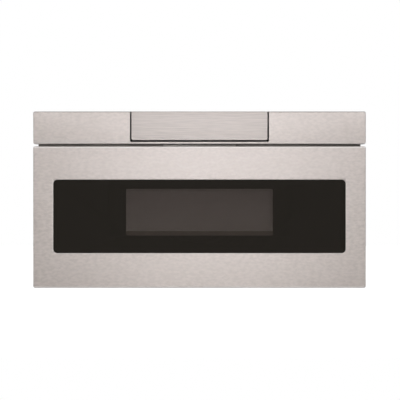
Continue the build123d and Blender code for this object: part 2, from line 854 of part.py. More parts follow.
def drive_motor():
    """Gearmotor on four posts that stand on the base plate clear of the rack."""
    x0 = pinion_x - 11
    x1 = x0 + gearbox_width
    half = gearbox_width / 2
    box = block(x0, x1, drive_y - half, drive_y + half, motor_floor, motor_floor + gearbox_height)
    box -= rod_z(
        shaft_radius + shaft_clearance, motor_floor - 1, motor_floor + gearbox_height / 2 + 1,
        pinion_x, drive_y)
    for x in (x1 - 6, x1 - 18):
        for side in (-1, 1):
            box += rod_z(4, base_sheet, motor_floor + 1, x, drive_y + side * (half - 6))
    can_top = motor_floor + gearbox_height + motor_height
    return box + rod_z(motor_radius, motor_floor + gearbox_height - 1, can_top, x1 - 24, drive_y)


# ---------------------------------------------------------------- drawer front
def drawer_face():
    """Brushed-steel face with the opening that the glass sits in."""
    tray = steel_tray(half_face, face_bottom, drawer_face_top, face_return, face_sheet)
    opening = rounded_panel(
        glass_width + 2 * glass_clearance, glass_height + 2 * glass_clearance,
        glass_radius + glass_clearance, face_front - 1, face_front + face_sheet + 1, glass_middle)
    return tray - opening


def glass_panel():
    front = face_front + glass_recess
    return rounded_panel(
        glass_width, glass_height, glass_radius, front, front + glass_thickness, glass_middle)


def glass_retainer():
    """Black moulded frame behind the glass, with ribs back to the inner plate."""
    front = face_front + glass_recess + glass_thickness
    rear = front + retainer_thickness
    plate = rounded_panel(
        glass_width + 2 * retainer_margin, glass_height + 2 * retainer_margin,
        glass_radius + retainer_margin, front, rear, glass_middle)
    window = rounded_panel(window_width, window_height, 4, front - 1, rear + 1, window_middle)
    plate_front = face_front + face_return - 3 - inner_plate_sheet
    for side in (-1, 1):
        for x in (glass_width * 0.28, glass_width * 0.46):
            plate += block(
                side * x - 1.5, side * x + 1.5, rear - 1, plate_front,
                glass_middle - glass_height * 0.4, glass_middle + glass_height * 0.4)
    return plate - window


def window_screen():
    """Perforated screen on standoffs from the inner plate, seen through the glass."""
    front = face_front + glass_recess + glass_thickness + screen_behind_glass
    plate_front = face_front + face_return - 3 - inner_plate_sheet
    screen = rounded_panel(
        window_width + 2 * screen_overlap, window_height + 2 * screen_overlap, 4,
        front, front + screen_thickness, window_middle)
    for x in (-1, 1):
        for z in (-1, 1):
            screen += rod_y(
                1.5, front + screen_thickness / 2, plate_front,
                x * (window_width + screen_overlap) / 2,
                window_middle + z * (window_height + screen_overlap) / 2)
    return screen


def inner_door_plate():
    """Steel plate that closes the rear of the face and carries slides, rack, choke and tabs."""
    rear = face_front + face_return - 3
    front = rear - inner_plate_sheet
    inset = face_sheet + running_clearance
    half = half_face - inset
    plate = wide_block(half, front, rear, face_bottom + inset, drawer_face_top - inset)
    plate = fillet(plate.edges().filter_by(Axis.Y), face_corner_radius)
    plate -= rounded_panel(
        window_width - screen_overlap, window_height - screen_overlap, 4, front - 1, rear + 1,
        window_middle)
    for side in (-1, 1):
        centre = side * switch_offset
        plate += block(
            centre - tab_width / 2, centre + tab_width / 2, rear - inner_plate_sheet / 2, tab_end,
            tab_z - tab_height / 2, tab_z + tab_height / 2)
    return plate


def choke_frame():
    """Channel round the cavity's mouth that keeps the microwaves in, on the inner plate."""
    front = face_front + face_return - 3
    rear = front + choke_depth
    outer = half_inside + choke_width
    z0 = tray_top - choke_width
    z1 = mouth_top + choke_width
    ring = wide_block(outer, front, rear, z0, z1)
    ring -= wide_block(
        outer - choke_sheet, front + choke_sheet, rear + 1, z0 + choke_sheet, z1 - choke_sheet)
    inner = wide_block(
        half_inside, front, rear, tray_top, mouth_top)
    inner -= wide_block(
        half_inside - choke_sheet, front - 1, rear + 1, tray_top + choke_sheet, mouth_top - choke_sheet)
    ring += inner
    return ring - wide_block(
        half_inside - choke_sheet, front - 1, rear + 1, tray_top + choke_sheet, mouth_top - choke_sheet)


def choke_cover():
    """Moulded ring that closes the choke channel and meets the frame round the mouth."""
    rear = door_rear
    front = rear - choke_cover_thickness
    outer = half_inside + choke_width
    cover = wide_block(outer, front, rear, tray_top - choke_width, mouth_top + choke_width)
    cover -= wide_block(half_inside, front - 1, rear + 1, tray_top, mouth_top)
    skirt_front = face_front + face_return - 3 + choke_depth
    skirt = wide_block(
        outer - choke_sheet - running_clearance, skirt_front - 3, front,
        tray_top - choke_width + choke_sheet + running_clearance,
        mouth_top + choke_width - choke_sheet - running_clearance)
    skirt -= wide_block(
        outer - 2 * choke_cover_thickness, skirt_front - 4, front + 1,
        tray_top - choke_width + 2 * choke_cover_thickness,
        mouth_top + choke_width - 2 * choke_cover_thickness)
    return cover + skirt


def inner_window():
    """Clear pane that lines the front of the bin inside the choke."""
    inset = choke_sheet + running_clearance
    front = face_front + face_return - 3 + choke_depth - inner_window_thickness
    return wide_block(
        half_inside - inset, front, front + inner_window_thickness,
        tray_top + inset, mouth_top - inset)


# ---------------------------------------------------------------- drawer bin
def bin_frame():
    """Floor frame of the bin, with the rebate that the tray sits in."""
    rear = bin_rear_face + bin_wall
    frame = wide_block(half_bin, door_rear, rear, bin_bottom, tray_top)
    inside = half_inside - bin_wall
    frame -= wide_block(
        inside, door_rear + bin_wall, rear - 2 * bin_wall, tray_top - tray_thickness, tray_top + 1)
    return frame - wide_block(
        inside - tray_ledge, door_rear + bin_wall + tray_ledge, rear - 2 * bin_wall - tray_ledge,
        bin_bottom - 1, tray_top)


def glass_tray():
    inside = half_inside - bin_wall - tray_clearance
    return wide_block(
        inside, door_rear + bin_wall + tray_clearance, bin_rear_face - bin_wall - tray_clearance,
        tray_top - tray_thickness, tray_top)


def bin_side_right():
    return block(
        half_inside, half_bin, door_rear, bin_rear_face, tray_top, tray_top + bin_wall_height)


def bin_rear():
    return wide_block(
        half_bin, bin_rear_face, bin_rear_face + bin_wall, tray_top, tray_top + bin_wall_height)


# ---------------------------------------------------------------- interlock and bumpers
def interlock_switches():
    """Two switch bodies above the cavity roof, each with a bore for its plunger."""
    tip_seat = tab_end + running_clearance + plunger_reach
    body = block(
        switch_offset - switch_width / 2, switch_offset + switch_width / 2,
        tip_seat, tip_seat + switch_length, cavity_roof_under + cavity_sheet,
        cavity_roof_under + cavity_sheet + switch_height)
    body -= rod_y(
        plunger_radius + shaft_clearance, tip_seat - 1, tip_seat + 10, switch_offset, tab_z)
    return pair(body)


def interlock_plungers():
    """Plungers that the door's tabs press in; both move together."""
    tip = tab_end + running_clearance
    return pair(rod_y(plunger_radius, tip, tip + plunger_reach + 6, switch_offset, tab_z))


def door_bumpers():
    """Four rubber stops on the frame, just clear of the closed door's choke cover."""
    bumpers = []
    for x in (-bumper_offset, bumper_offset):
        for z in (cavity_floor_top - bumper_radius - 1, mouth_top + bumper_radius + 1):
            bumpers.append(rod_y(bumper_radius, door_rear + running_clearance, frame_front, x, z))
    return bumpers


# ---------------------------------------------------------------- control strip
def control_fascia():
    """Steel strip above the drawer, notched for the flap, with a lip left under the notch."""
    strip = steel_tray(
        half_face, strip_bottom, strip_top, face_depth - frame_rise, face_sheet)
    notch_bottom = strip_bottom + lip_height
    notch = rounded_panel(
        2 * half_flap_opening, 2 * (strip_top - notch_bottom), flap_corner_radius,
        face_front - 1, face_front + face_depth, strip_top)
    return strip - notch


def control_housing():
    """Moulding behind the strip: a box that the module tilts in, and ribbed wings to each side."""
    inset = face_sheet
    z0 = strip_bottom + inset + running_clearance
    half_in = half_flap_opening
    half_out = half_flap_opening + housing_wall
    front = face_front + face_sheet + 2 * running_clearance
    box = wide_block(half_out, front, sheet_front, z0, strip_top - inset - running_clearance)
    roof_plate = wide_block(half_in, front + roof_setback, sheet_front, roof_under, strip_top)
    box -= wide_block(half_in, front - 1, sheet_front - housing_wall, z0 + housing_wall, strip_top + 1)
    moulding = box + roof_plate
    hole_x = half_out + 1
    moulding -= rod_x(trunnion_radius + shaft_clearance, -hole_x, hole_x, pivot_y, pivot_z)
    moulding -= rod_x(2 * tilt_shaft_radius, half_in - 1, hole_x, *tilt_pinion_place())
    wing_rear = face_front + face_depth - frame_rise
    wing_front = wing_rear - housing_wall
    wing_end = half_face - face_sheet - face_corner_radius
    z1 = strip_top - inset - running_clearance
    wing = block(half_out - 0.5, wing_end, wing_front, wing_rear, z0, z1)
    for rib in range(4):
        x = half_out + 50 + rib * (wing_end - half_out - 52) / 3
        wing += block(
            x, x + housing_wall, front, wing_front + 1, z0, z1)
    wing = wing - block(half_out - 1, half_out + 48, wing_front - 1, wing_rear + 1, z0 + 12, z1 - 12)
    return moulding + wing + mirrored(wing)


def tilt_pinion_place():
    """Y and Z of the tilt pinion's axis."""
    distance = tilt_module * (sector_teeth + tilt_pinion_teeth) / 2
    angle = radians(tilt_pinion_direction)
    return pivot_y + distance * cos(angle), pivot_z + distance * sin(angle)


def across(piece, x, y, z):
    """Turns a piece drawn in XY so that it lies in YZ, with its Z axis along +X."""
    return Plane(origin=(x, y, z), x_dir=(0, 1, 0), z_dir=(1, 0, 0)) * piece


def control_wedge():
    """Wedge-shaped body of the module, with trunnions and the gear sector at its right end."""
    front = -tilt_pivot_behind_face + flap_sheet
    profile = [
        (front, -tilt_pivot_above_edge + wedge_toe_rise),
        (front, wedge_height),
        (0, wedge_height),
        (wedge_depth, wedge_back_height),
        (wedge_depth, wedge_bottom_rise),
        (wedge_toe_depth, -tilt_pivot_above_edge),
    ]
    body = extrude(make_face(Polyline(*profile, close=True)), amount=2 * half_wedge)
    slope_length = hypot(wedge_depth, wedge_height - wedge_back_height)
    pocket = key_pocket(slope_length - 2 * key_glass_margin, board_drop + board_thickness)
    wedge = across(body, -half_wedge, pivot_y, pivot_z) - pocket
    for side in (-1, 1):
        inner = side * (half_wedge - 1)
        outer = side * (half_flap_opening + housing_wall)
        wedge += rod_x(
            trunnion_radius, min(inner, outer), max(inner, outer), pivot_y, pivot_z)
    gear = spur_gear(
        sector_teeth, tilt_module, 0.8, tilt_pinion_direction, sector_thickness)
    reach = sector_teeth * tilt_module
    start = radians(tilt_pinion_direction - sector_before)
    end = radians(tilt_pinion_direction + sector_after)
    sector_cut = extrude(
        make_face(Polyline(
            (0, 0), (reach * cos(start), reach * sin(start)), (reach * cos(end), reach * sin(end)),
            close=True)),
        amount=sector_thickness)
    sector = across(gear & sector_cut, half_wedge, pivot_y, pivot_z)
    return wedge + sector


def key_frame():
    """Local plane on the middle of the key face, X along the width, Z out of the face."""
    along_y = wedge_depth
    along_z = wedge_back_height - wedge_height
    length = hypot(along_y, along_z)
    return Plane(
        origin=(0, pivot_y + wedge_depth / 2, pivot_z + (wedge_height + wedge_back_height) / 2),
        x_dir=(1, 0, 0), z_dir=(0, -along_z / length, along_y / length))


def key_pocket(height, depth):
    """Pocket in the wedge under the key panel."""
    half = half_wedge - key_glass_margin
    return key_frame() * Pos(0, 0, -depth / 2 + 1) * Box(2 * half, height, depth + 2)


def key_panel():
    """Black glass with the key fields and the display window, seated in the wedge's pocket."""
    height = hypot(wedge_depth, wedge_height - wedge_back_height) - 2 * key_glass_margin
    half = half_wedge - key_glass_margin - running_clearance
    glass = Box(2 * half, height - 2 * running_clearance, key_glass_thickness)
    return key_frame() * Pos(0, 0, -key_glass_thickness / 2) * glass


def control_board():
    """Circuit board under the key panel, with its display block reaching up to the glass."""
    height = hypot(wedge_depth, wedge_height - wedge_back_height) - 2 * key_glass_margin - 2
    half = half_wedge - key_glass_margin - 1
    floor = -board_drop - board_thickness
    board = Pos(0, 0, floor + board_thickness / 2) * Box(2 * half, height, board_thickness)
    display_height = board_drop - key_glass_thickness
    display = Pos(0, 0, -board_drop + display_height / 2) * Box(
        display_width, display_depth, display_height)
    chip = Pos(half / 2, 0, -board_drop + chip_height / 2) * Box(chip_width, chip_depth, chip_height)
    return key_frame() * (board + display + chip)


def control_flap():
    """Brushed-steel cover of the module, flush with the strip and rounded at its lower corners."""
    top = strip_top
    flap = rounded_panel(
        flap_width, 2 * flap_height, flap_corner_radius, face_front, face_front + flap_sheet, top)
    flap -= wide_block(half_face, face_front - 1, face_front + flap_sheet + 1, top, top + flap_height + 1)
    return flap


def tilt_motor():
    """Small gearmotor on the outside of the housing's right wall."""
    y, z = tilt_pinion_place()
    wall = half_flap_opening + housing_wall
    body = rod_x(tilt_motor_radius, wall, wall + tilt_motor_length, y, z)
    return body - rod_x(tilt_shaft_radius + shaft_clearance, wall - 1, wall + 12, y, z)


def tilt_pinion():
    y, z = tilt_pinion_place()
    phase = tilt_pinion_direction + 180 + 180 / tilt_pinion_teeth
    gear = spur_gear(tilt_pinion_teeth, tilt_module, 0.8, phase, sector_thickness)
    wall = half_flap_opening + housing_wall
    return across(gear, half_wedge, y, z) + rod_x(
        tilt_shaft_radius, half_wedge + 1, wall + 10, y, z)


# ---------------------------------------------------------------- write every piece
def write(name, shape):
    """One STEP file per piece; a list of solids becomes one group."""
    if isinstance(shape, list):
        shape = Compound(children=[Compound(solid.solids()) for solid in shape])
    export_step(shape, f"parts/{name}.step")


pieces = {
    "base_plate": base_plate(),
    "case_side_right": case_side_right(),
    "case_side_left": mirrored(case_side_right()),
    "case_top_panel": case_top_panel(),
    "back_plate": back_plate(),
    "case_screws": case_screws(),
    "front_frame": front_frame(),
    "cavity_floor": cavity_floor(),
    "cavity_roof": cavity_roof(),
    "cavity_side_right": cavity_side_right(),
    "cavity_side_left": mirrored(cavity_side_right()),
    "cavity_back": cavity_back(),
    "stirrer_cover": stirrer_cover(),
    "oven_lamp": oven_lamp(),
    "stirrer": stirrer(),
    "stirrer_motor": stirrer_motor(),
    "waveguide": waveguide(),
    "magnetron": magnetron(),
    "fan_blades": fan_blades(),
    "fan_shroud": fan_shroud(),
    "fan_motor": fan_motor(),
    "power_transformer": power_transformer(),
    "high_voltage_capacitor": high_voltage_capacitor(),
    "filter_board": filter_board(),
    "cord_gland": cord_gland(),
    "slide_outer_right": slide_outer_right(),
    "slide_outer_left": mirrored(slide_outer_right()),
    "slide_middle_members": pair(slide_middle_right()),
    "slide_inner_right": slide_inner_right(),
    "slide_inner_left": mirrored(slide_inner_right()),
    "outer_ball_cages": outer_ball_cages(),
    "inner_ball_cages": inner_ball_cages(),
    "drive_rack": drive_rack(),
    "rack_guide": rack_guide(),
    "drive_pinion": drive_pinion(),
    "drive_motor": drive_motor(),
    "drawer_face": drawer_face(),
    "glass_panel": glass_panel(),
    "glass_retainer": glass_retainer(),
    "window_screen": window_screen(),
    "inner_door_plate": inner_door_plate(),
    "choke_frame": choke_frame(),
    "choke_cover": choke_cover(),
    "inner_window": inner_window(),
    "bin_frame": bin_frame(),
    "glass_tray": glass_tray(),
    "bin_side_right": bin_side_right(),
    "bin_side_left": mirrored(bin_side_right()),
    "bin_rear": bin_rear(),
    "interlock_switches": interlock_switches(),
    "interlock_plungers": interlock_plungers(),
    "door_bumpers": door_bumpers(),
    "control_fascia": control_fascia(),
    "control_housing": control_housing(),
    "control_wedge": control_wedge(),
    "key_panel": key_panel(),
    "control_board": control_board(),
    "control_flap": control_flap(),
    "tilt_motor": tilt_motor(),
    "tilt_pinion": tilt_pinion(),
}

os.makedirs("parts", exist_ok=True)
for name, shape in pieces.items():
    write(name, shape)
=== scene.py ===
import math

import bmesh
import bpy
from mathutils import Matrix, Vector


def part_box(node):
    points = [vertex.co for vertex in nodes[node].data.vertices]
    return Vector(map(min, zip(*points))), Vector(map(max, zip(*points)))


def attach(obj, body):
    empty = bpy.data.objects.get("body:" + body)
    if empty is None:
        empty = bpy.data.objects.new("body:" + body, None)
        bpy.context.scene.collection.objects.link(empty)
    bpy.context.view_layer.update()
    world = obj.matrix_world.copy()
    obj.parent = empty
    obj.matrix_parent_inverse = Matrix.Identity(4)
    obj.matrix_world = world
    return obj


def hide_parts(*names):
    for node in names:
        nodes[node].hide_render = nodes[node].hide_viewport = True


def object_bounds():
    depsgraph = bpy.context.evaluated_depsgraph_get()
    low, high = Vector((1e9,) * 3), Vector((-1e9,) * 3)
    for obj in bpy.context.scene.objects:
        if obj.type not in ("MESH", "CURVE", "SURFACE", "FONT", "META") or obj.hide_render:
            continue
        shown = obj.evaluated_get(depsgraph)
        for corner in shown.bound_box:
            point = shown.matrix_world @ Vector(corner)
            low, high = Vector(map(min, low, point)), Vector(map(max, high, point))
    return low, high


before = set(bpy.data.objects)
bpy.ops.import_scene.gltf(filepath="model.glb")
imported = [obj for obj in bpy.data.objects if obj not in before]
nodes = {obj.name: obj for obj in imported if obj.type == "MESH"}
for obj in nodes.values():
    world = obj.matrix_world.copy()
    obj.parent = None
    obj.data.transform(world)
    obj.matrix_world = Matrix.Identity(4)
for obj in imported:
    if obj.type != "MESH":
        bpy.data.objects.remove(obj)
cad_box = [list(corner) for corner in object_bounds()]


# ------------------------------------------------------------------ camera, light and floor
# A catalogue view square on to the face from far off, in a bright tent with soft boxes and
# small cards round the part. The floor is a plain pale sweep that the part stands on.
face_low, face_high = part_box("drawer_face")
camera_distance = 6.0
camera_side = 0.0012
camera_height = 0.1876
frame_width = 0.9124
camera = bpy.data.objects.new("camera", bpy.data.cameras.new("camera"))
camera.data.sensor_width = 36.0
camera.data.lens = camera.data.sensor_width * camera_distance / frame_width
camera.data.clip_end = 60.0
camera.location = (camera_side, face_low[1] - camera_distance, camera_height)
camera.rotation_euler = (math.radians(90), 0, 0)
bpy.context.scene.collection.objects.link(camera)
bpy.context.scene.camera = camera
bpy.context.scene.view_settings.view_transform = "Standard"


def node(tree, kind, links=None, **settings):
    """Adds one shader node. links maps its inputs to plain values or to other nodes' outputs."""
    made = tree.nodes.new("ShaderNode" + kind)
    for name, value in settings.items():
        setattr(made, name, value)
    for socket, value in (links or {}).items():
        if isinstance(value, bpy.types.NodeSocket):
            tree.links.new(value, made.inputs[socket])
        else:
            made.inputs[socket].default_value = value
    return made


def ramp(tree, value, stops):
    """A colour ramp over a value: stops are (place, colour) pairs."""
    made = node(tree, "ValToRGB", {"Fac": value})
    elements = made.color_ramp.elements
    while len(elements) < len(stops):
        elements.new(0.5)
    for element, (place, colour) in zip(elements, stops):
        element.position = place
        element.color = (*colour, 1.0)
    return made.outputs["Color"]


def spread(tree, value, low, high, to_low=0.0, to_high=1.0):
    """A value stretched from one range to another."""
    made = node(tree, "MapRange", {
        "Value": value, "From Min": low, "From Max": high, "To Min": to_low, "To Max": to_high})
    return made.outputs["Result"]


def noise(tree, vector, scale, detail, distortion=0.0):
    """Soft noise over a vector, as a value."""
    made = node(tree, "TexNoise", {
        "Vector": vector, "Scale": scale, "Detail": detail, "Distortion": distortion})
    return made.outputs["Fac"]


def own_place(tree):
    """The place of a point in its piece's own frame."""
    return node(tree, "TexCoord").outputs["Object"]


def feed(shader, label, value):
    """Links a value to one of the shader's inputs."""
    shader.id_data.links.new(value, shader.inputs[label])


def softbox(name, width, height, watts, place, target, colour=(1, 1, 1)):
    """A studio soft box: an area light that no camera ray sees, nor any ray out of glass."""
    light = bpy.data.lights.new(name, "AREA")
    light.shape = "RECTANGLE"
    light.size = width
    light.size_y = height
    light.energy = watts
    light.color = colour
    lamp = bpy.data.objects.new(name, light)
    lamp.location = place
    lamp.rotation_euler = (Vector(target) - Vector(place)).to_track_quat("-Z", "Y").to_euler()
    lamp.visible_camera = lamp.visible_transmission = False
    bpy.context.scene.collection.objects.link(lamp)


cool_white = (0.96, 0.99, 1.05)
softbox("overhead_box", 2.4, 2.4, 12.0, (0, -0.3, 2.2), (0, -0.1, 0))
softbox("key_box", 0.66, 0.28, 1.72, (0.015, -1.85, 0.405), (0.01, -0.35, 0.35), cool_white)
softbox("right_card", 0.16, 0.08, 0.436, (0.56, -1.25, 0.56), (0.32, -0.35, 0.31), cool_white)
softbox("left_card", 0.16, 0.08, 0.402, (-0.56, -1.25, 0.56), (-0.32, -0.35, 0.31), cool_white)
softbox("low_card", 0.50, 0.03, 0.63, (0.03, -1.85, 0.004), (0.0, -0.35, 0.03))
softbox("front_box", 1.3, 0.5, 2.8, (0.06, -1.75, 1.25), (0, -0.35, 0.22))
softbox("right_box", 0.7, 1.2, 2.9, (1.9, -1.2, 0.75), (0.1, -0.3, 0.2))
softbox("left_box", 0.7, 1.2, 1.8, (-1.9, -1.2, 0.75), (-0.1, -0.3, 0.2))
softbox("rear_box", 1.0, 0.34, 9, (-1.9, 2.0, 0.18), (0, 0.3, 0.17))

tent = bpy.data.worlds.new("studio_tent")
tent.use_nodes = True
bpy.context.scene.world = tent
tree = tent.node_tree
tree.nodes.clear()
direction = node(tree, "TexCoord").outputs["Generated"]
towards_camera = node(tree, "VectorMath", {0: direction, 1: (0, -1, 0)}, operation="DOT_PRODUCT")
lens_hole = spread(tree, towards_camera.outputs["Value"], 0.70, 0.990)
tent_tone = ramp(tree, lens_hole, [
    (0.0, (0.355, 0.355, 0.355)), (0.80, (0.030, 0.028, 0.026)), (1.0, (0.39, 0.336, 0.278))])
plain = node(tree, "Background", {"Color": (1, 1, 1, 1), "Strength": 1.0})
lit = node(tree, "Background", {"Color": tent_tone, "Strength": 1.0})
seen = node(tree, "LightPath").outputs["Is Camera Ray"]
mixed = node(tree, "MixShader", {0: seen, 1: lit.outputs[0], 2: plain.outputs[0]})
node(tree, "OutputWorld", {"Surface": mixed.outputs[0]})


def new_piece(name, verts, faces, body, material=None, smooth=True):
    """A mesh piece drawn in the row frame, riding on a body, with its material."""
    mesh = bpy.data.meshes.new(name)
    mesh.from_pydata([tuple(v) for v in verts], [], faces)
    mesh.update()
    made = bpy.data.objects.new(name, mesh)
    bpy.context.scene.collection.objects.link(made)
    if material is not None:
        mesh.materials.append(material)
    if smooth:
        mesh.shade_smooth()
    else:
        mesh.shade_flat()
    if body is not None:
        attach(made, body)
    return made


floor_half = 5.0
floor_front = -3.0
floor_glow = 0.8
floor_corners = [
    (-floor_half, floor_front), (floor_half, floor_front),
    (floor_half, floor_half), (-floor_half, floor_half)]
verts = [(x, y, cad_box[0][2]) for x, y in floor_corners]
floor = new_piece("floor", verts, [(0, 1, 2, 3)], None)
floor_paper = bpy.data.materials.new("floor_paper")
floor_paper.use_nodes = True
tree = floor_paper.node_tree
shader = tree.nodes["Principled BSDF"]
fibre = noise(tree, own_place(tree), 40.0, 4.0)
colour = ramp(tree, fibre, [(0.3, (0.86, 0.86, 0.86)), (0.7, (0.90, 0.90, 0.90))])
feed(shader, "Base Color", colour)
shader.inputs["Roughness"].default_value = 0.9
shader.inputs["Specular IOR Level"].default_value = 0.1
shader.inputs["Emission Strength"].default_value = floor_glow
seen = node(tree, "LightPath").outputs["Is Camera Ray"]
feed(shader, "Emission Color", ramp(tree, seen, [(0.0, (0, 0, 0)), (1.0, (1, 1, 1))]))
floor.data.materials.append(floor_paper)


# ------------------------------------------------------------------ outer case
# Folded panels of galvanised sheet, screwed together at the top's edges and the back: base,
# sides, top and back plate. The zinc shows faint crystals, rolling lines and brighter edges.
def effect(name, inputs, outputs):
    """An empty shader node group: (its tree, its given values, the sockets of its results)."""
    group = bpy.data.node_groups.new(name, "ShaderNodeTree")
    for label, kind, value in inputs:
        socket = group.interface.new_socket(label, in_out="INPUT", socket_type="NodeSocket" + kind)
        socket.default_value = value
    for label, kind in outputs:
        group.interface.new_socket(label, in_out="OUTPUT", socket_type="NodeSocket" + kind)
    entry = group.nodes.new("NodeGroupInput")
    leave = group.nodes.new("NodeGroupOutput")
    return group, entry.outputs, leave.inputs


def use(tree, group, **values):
    """Places an effect group in a material with its own values; returns its outputs."""
    made = tree.nodes.new("ShaderNodeGroup")
    made.node_tree = group
    for label, value in values.items():
        socket = made.inputs[label.replace("_", " ")]
        if isinstance(value, bpy.types.NodeSocket):
            tree.links.new(value, socket)
        else:
            socket.default_value = value
    return made.outputs


def maths(tree, operation, a, b=0.5):
    """One sum over two values."""
    return node(tree, "Math", {0: a, 1: b}, operation=operation).outputs[0]


def drawn_out(tree, vector, factors):
    """A vector with each of its parts multiplied by a factor of its own."""
    return node(tree, "VectorMath", {0: vector, 1: factors}, operation="MULTIPLY").outputs[0]


edge_wear, given, result = effect(
    "edge_wear", [("Radius", "Float", 0.0006), ("Breakup", "Float", 60.0)],
    [("Mask", "Float"), ("Normal", "Vector")])
rounded = node(edge_wear, "Bevel", {"Radius": given["Radius"]}, samples=4).outputs["Normal"]
flat = node(edge_wear, "NewGeometry").outputs["Normal"]
turned = node(edge_wear, "VectorMath", {0: rounded, 1: flat}, operation="DOT_PRODUCT")
near_edge = spread(edge_wear, turned.outputs["Value"], 0.995, 0.80)
chips = spread(edge_wear, noise(edge_wear, own_place(edge_wear), given["Breakup"], 3.0), 0.35, 0.6)
edge_wear.links.new(maths(edge_wear, "MULTIPLY", near_edge, chips), result["Mask"])
edge_wear.links.new(rounded, result["Normal"])

drawn_lines, given, result = effect(
    "drawn_lines", [("Stretch", "Vector", (20.0, 20.0, 1200.0)), ("Detail", "Float", 2.0)],
    [("Height", "Float"), ("Tone", "Float")])
long_place = drawn_out(drawn_lines, own_place(drawn_lines), given["Stretch"])
lines = noise(drawn_lines, long_place, 1.0, given["Detail"])
wide = node(drawn_lines, "VectorMath", {0: long_place, "Scale": 0.23}, operation="SCALE")
bands = noise(drawn_lines, wide.outputs[0], 1.0, 2.0)
tone = maths(drawn_lines, "ADD", lines, bands)
drawn_lines.links.new(lines, result["Height"])
drawn_lines.links.new(maths(drawn_lines, "MULTIPLY", tone, 0.5), result["Tone"])

smudges, given, result = effect(
    "smudges", [("Scale", "Float", 6.0), ("Grain", "Float", 300.0)],
    [("Cloud", "Float"), ("Speck", "Float")])
place = own_place(smudges)
cloud = noise(smudges, place, given["Scale"], 4.0, distortion=0.6)
smudges.links.new(spread(smudges, cloud, 0.3, 0.7), result["Cloud"])
smudges.links.new(noise(smudges, place, given["Grain"], 3.0), result["Speck"])

zinc_spangle, given, result = effect(
    "zinc_spangle", [("Scale", "Float", 90.0)], [("Tone", "Float"), ("Grain", "Float")])
place = own_place(zinc_spangle)
bend = node(zinc_spangle, "TexNoise", {"Vector": place, "Scale": 300.0, "Detail": 2.0})
bent = node(
    zinc_spangle, "MixRGB", {"Fac": 0.004, "Color1": place, "Color2": bend.outputs["Color"]})
cells = node(zinc_spangle, "TexVoronoi", {
    "Vector": bent.outputs[0], "Scale": given["Scale"], "Randomness": 1.0})
tone = node(zinc_spangle, "SeparateColor", {"Color": cells.outputs["Color"]}).outputs[0]
rolling = noise(zinc_spangle, drawn_out(zinc_spangle, place, (160.0, 5.0, 160.0)), 1.0, 3.0)
tone_share = maths(zinc_spangle, "MULTIPLY", tone, 0.55)
rolling_share = maths(zinc_spangle, "MULTIPLY", rolling, 0.45)
zinc_spangle.links.new(maths(zinc_spangle, "ADD", tone_share, rolling_share), result["Tone"])
zinc_spangle.links.new(noise(zinc_spangle, place, 900.0, 2.0), result["Grain"])


def solid_colour(value):
    """A colour of three channels gets its fourth; any other value stays as it is."""
    return (*value, 1.0) if isinstance(value, tuple) and len(value) == 3 else value


def finish(name, **plain):
    """A new material: (material, its tree, its Principled shader), with plain socket values set."""
    material = bpy.data.materials.new(name)
    material.use_nodes = True
    shader = material.node_tree.nodes["Principled BSDF"]
    for label, value in plain.items():
        shader.inputs[label.replace("_", " ")].default_value = solid_colour(value)
    return material, material.node_tree, shader


def bumped(shader, height, strength, distance, normal=None):
    """Feeds the shader's normal from a height."""
    links = {"Height": height, "Strength": strength, "Distance": distance}
    if normal is not None:
        links["Normal"] = normal
    feed(shader, "Normal", node(shader.id_data, "Bump", links).outputs["Normal"])


def roughened(shader, value, rough_low, rough_high, limits=(0.3, 0.7)):
    """Lets the shader's roughness follow a value between its limits."""
    feed(shader, "Roughness", spread(shader.id_data, value, *limits, rough_low, rough_high))


def blended(tree, mask, first, second, share=1.0):
    """A colour that goes from the first to the second with a share of a mask."""
    if share != 1.0:
        mask = maths(tree, "MULTIPLY", mask, share)
    return node(tree, "MixRGB", {
        "Fac": mask, "Color1": solid_colour(first), "Color2": solid_colour(second)}).outputs[0]


def dress(material, *names):
    """Gives CAD nodes their finish."""
    for name in names:
        for slot in nodes[name].material_slots:
            slot.material = material


case_steel, tree, shader = finish("case_steel", Metallic=1.0)
crystal = use(tree, zinc_spangle, Scale=230.0)
worn = use(tree, edge_wear, Radius=0.0006, Breakup=70.0)
cloud = use(tree, smudges, Scale=2.2, Grain=220.0)
colour = ramp(tree, crystal["Tone"], [(0.15, (0.57, 0.58, 0.59)), (0.85, (0.71, 0.72, 0.73))])
colour = blended(tree, cloud["Cloud"], colour, (0.51, 0.515, 0.52), share=0.10)
colour = blended(tree, worn["Mask"], colour, (0.78, 0.78, 0.79))
feed(shader, "Base Color", colour)
roughened(shader, crystal["Tone"], 0.36, 0.46, (0.15, 0.85))
bumped(shader, crystal["Grain"], 0.12, 0.0004, worn["Normal"])
dress(case_steel, "base_plate", "case_side_right", "case_side_left", "case_top_panel", "back_plate")


def grid_faces(rows, columns, closed=False):
    """Faces of a sheet of points laid out row by row."""
    faces = []
    for row in range(rows - 1):
        for column in range(columns if closed else columns - 1):
            after = (column + 1) % columns
            faces.append((
                row * columns + column, row * columns + after,
                (row + 1) * columns + after, (row + 1) * columns + column))
    return faces


def thickened(made, thickness, bevel=0.0):
    """Gives a sheet its thickness about its middle, and a soft edge where bevel is over nought."""
    solid = made.modifiers.new("sheet", "SOLIDIFY")
    solid.thickness = thickness
    solid.offset = 0.0
    if bevel > 0:
        edge = made.modifiers.new("edge", "BEVEL")
        edge.width = bevel
        edge.segments = 2
        edge.limit_method = "ANGLE"
        edge.angle_limit = math.radians(40)


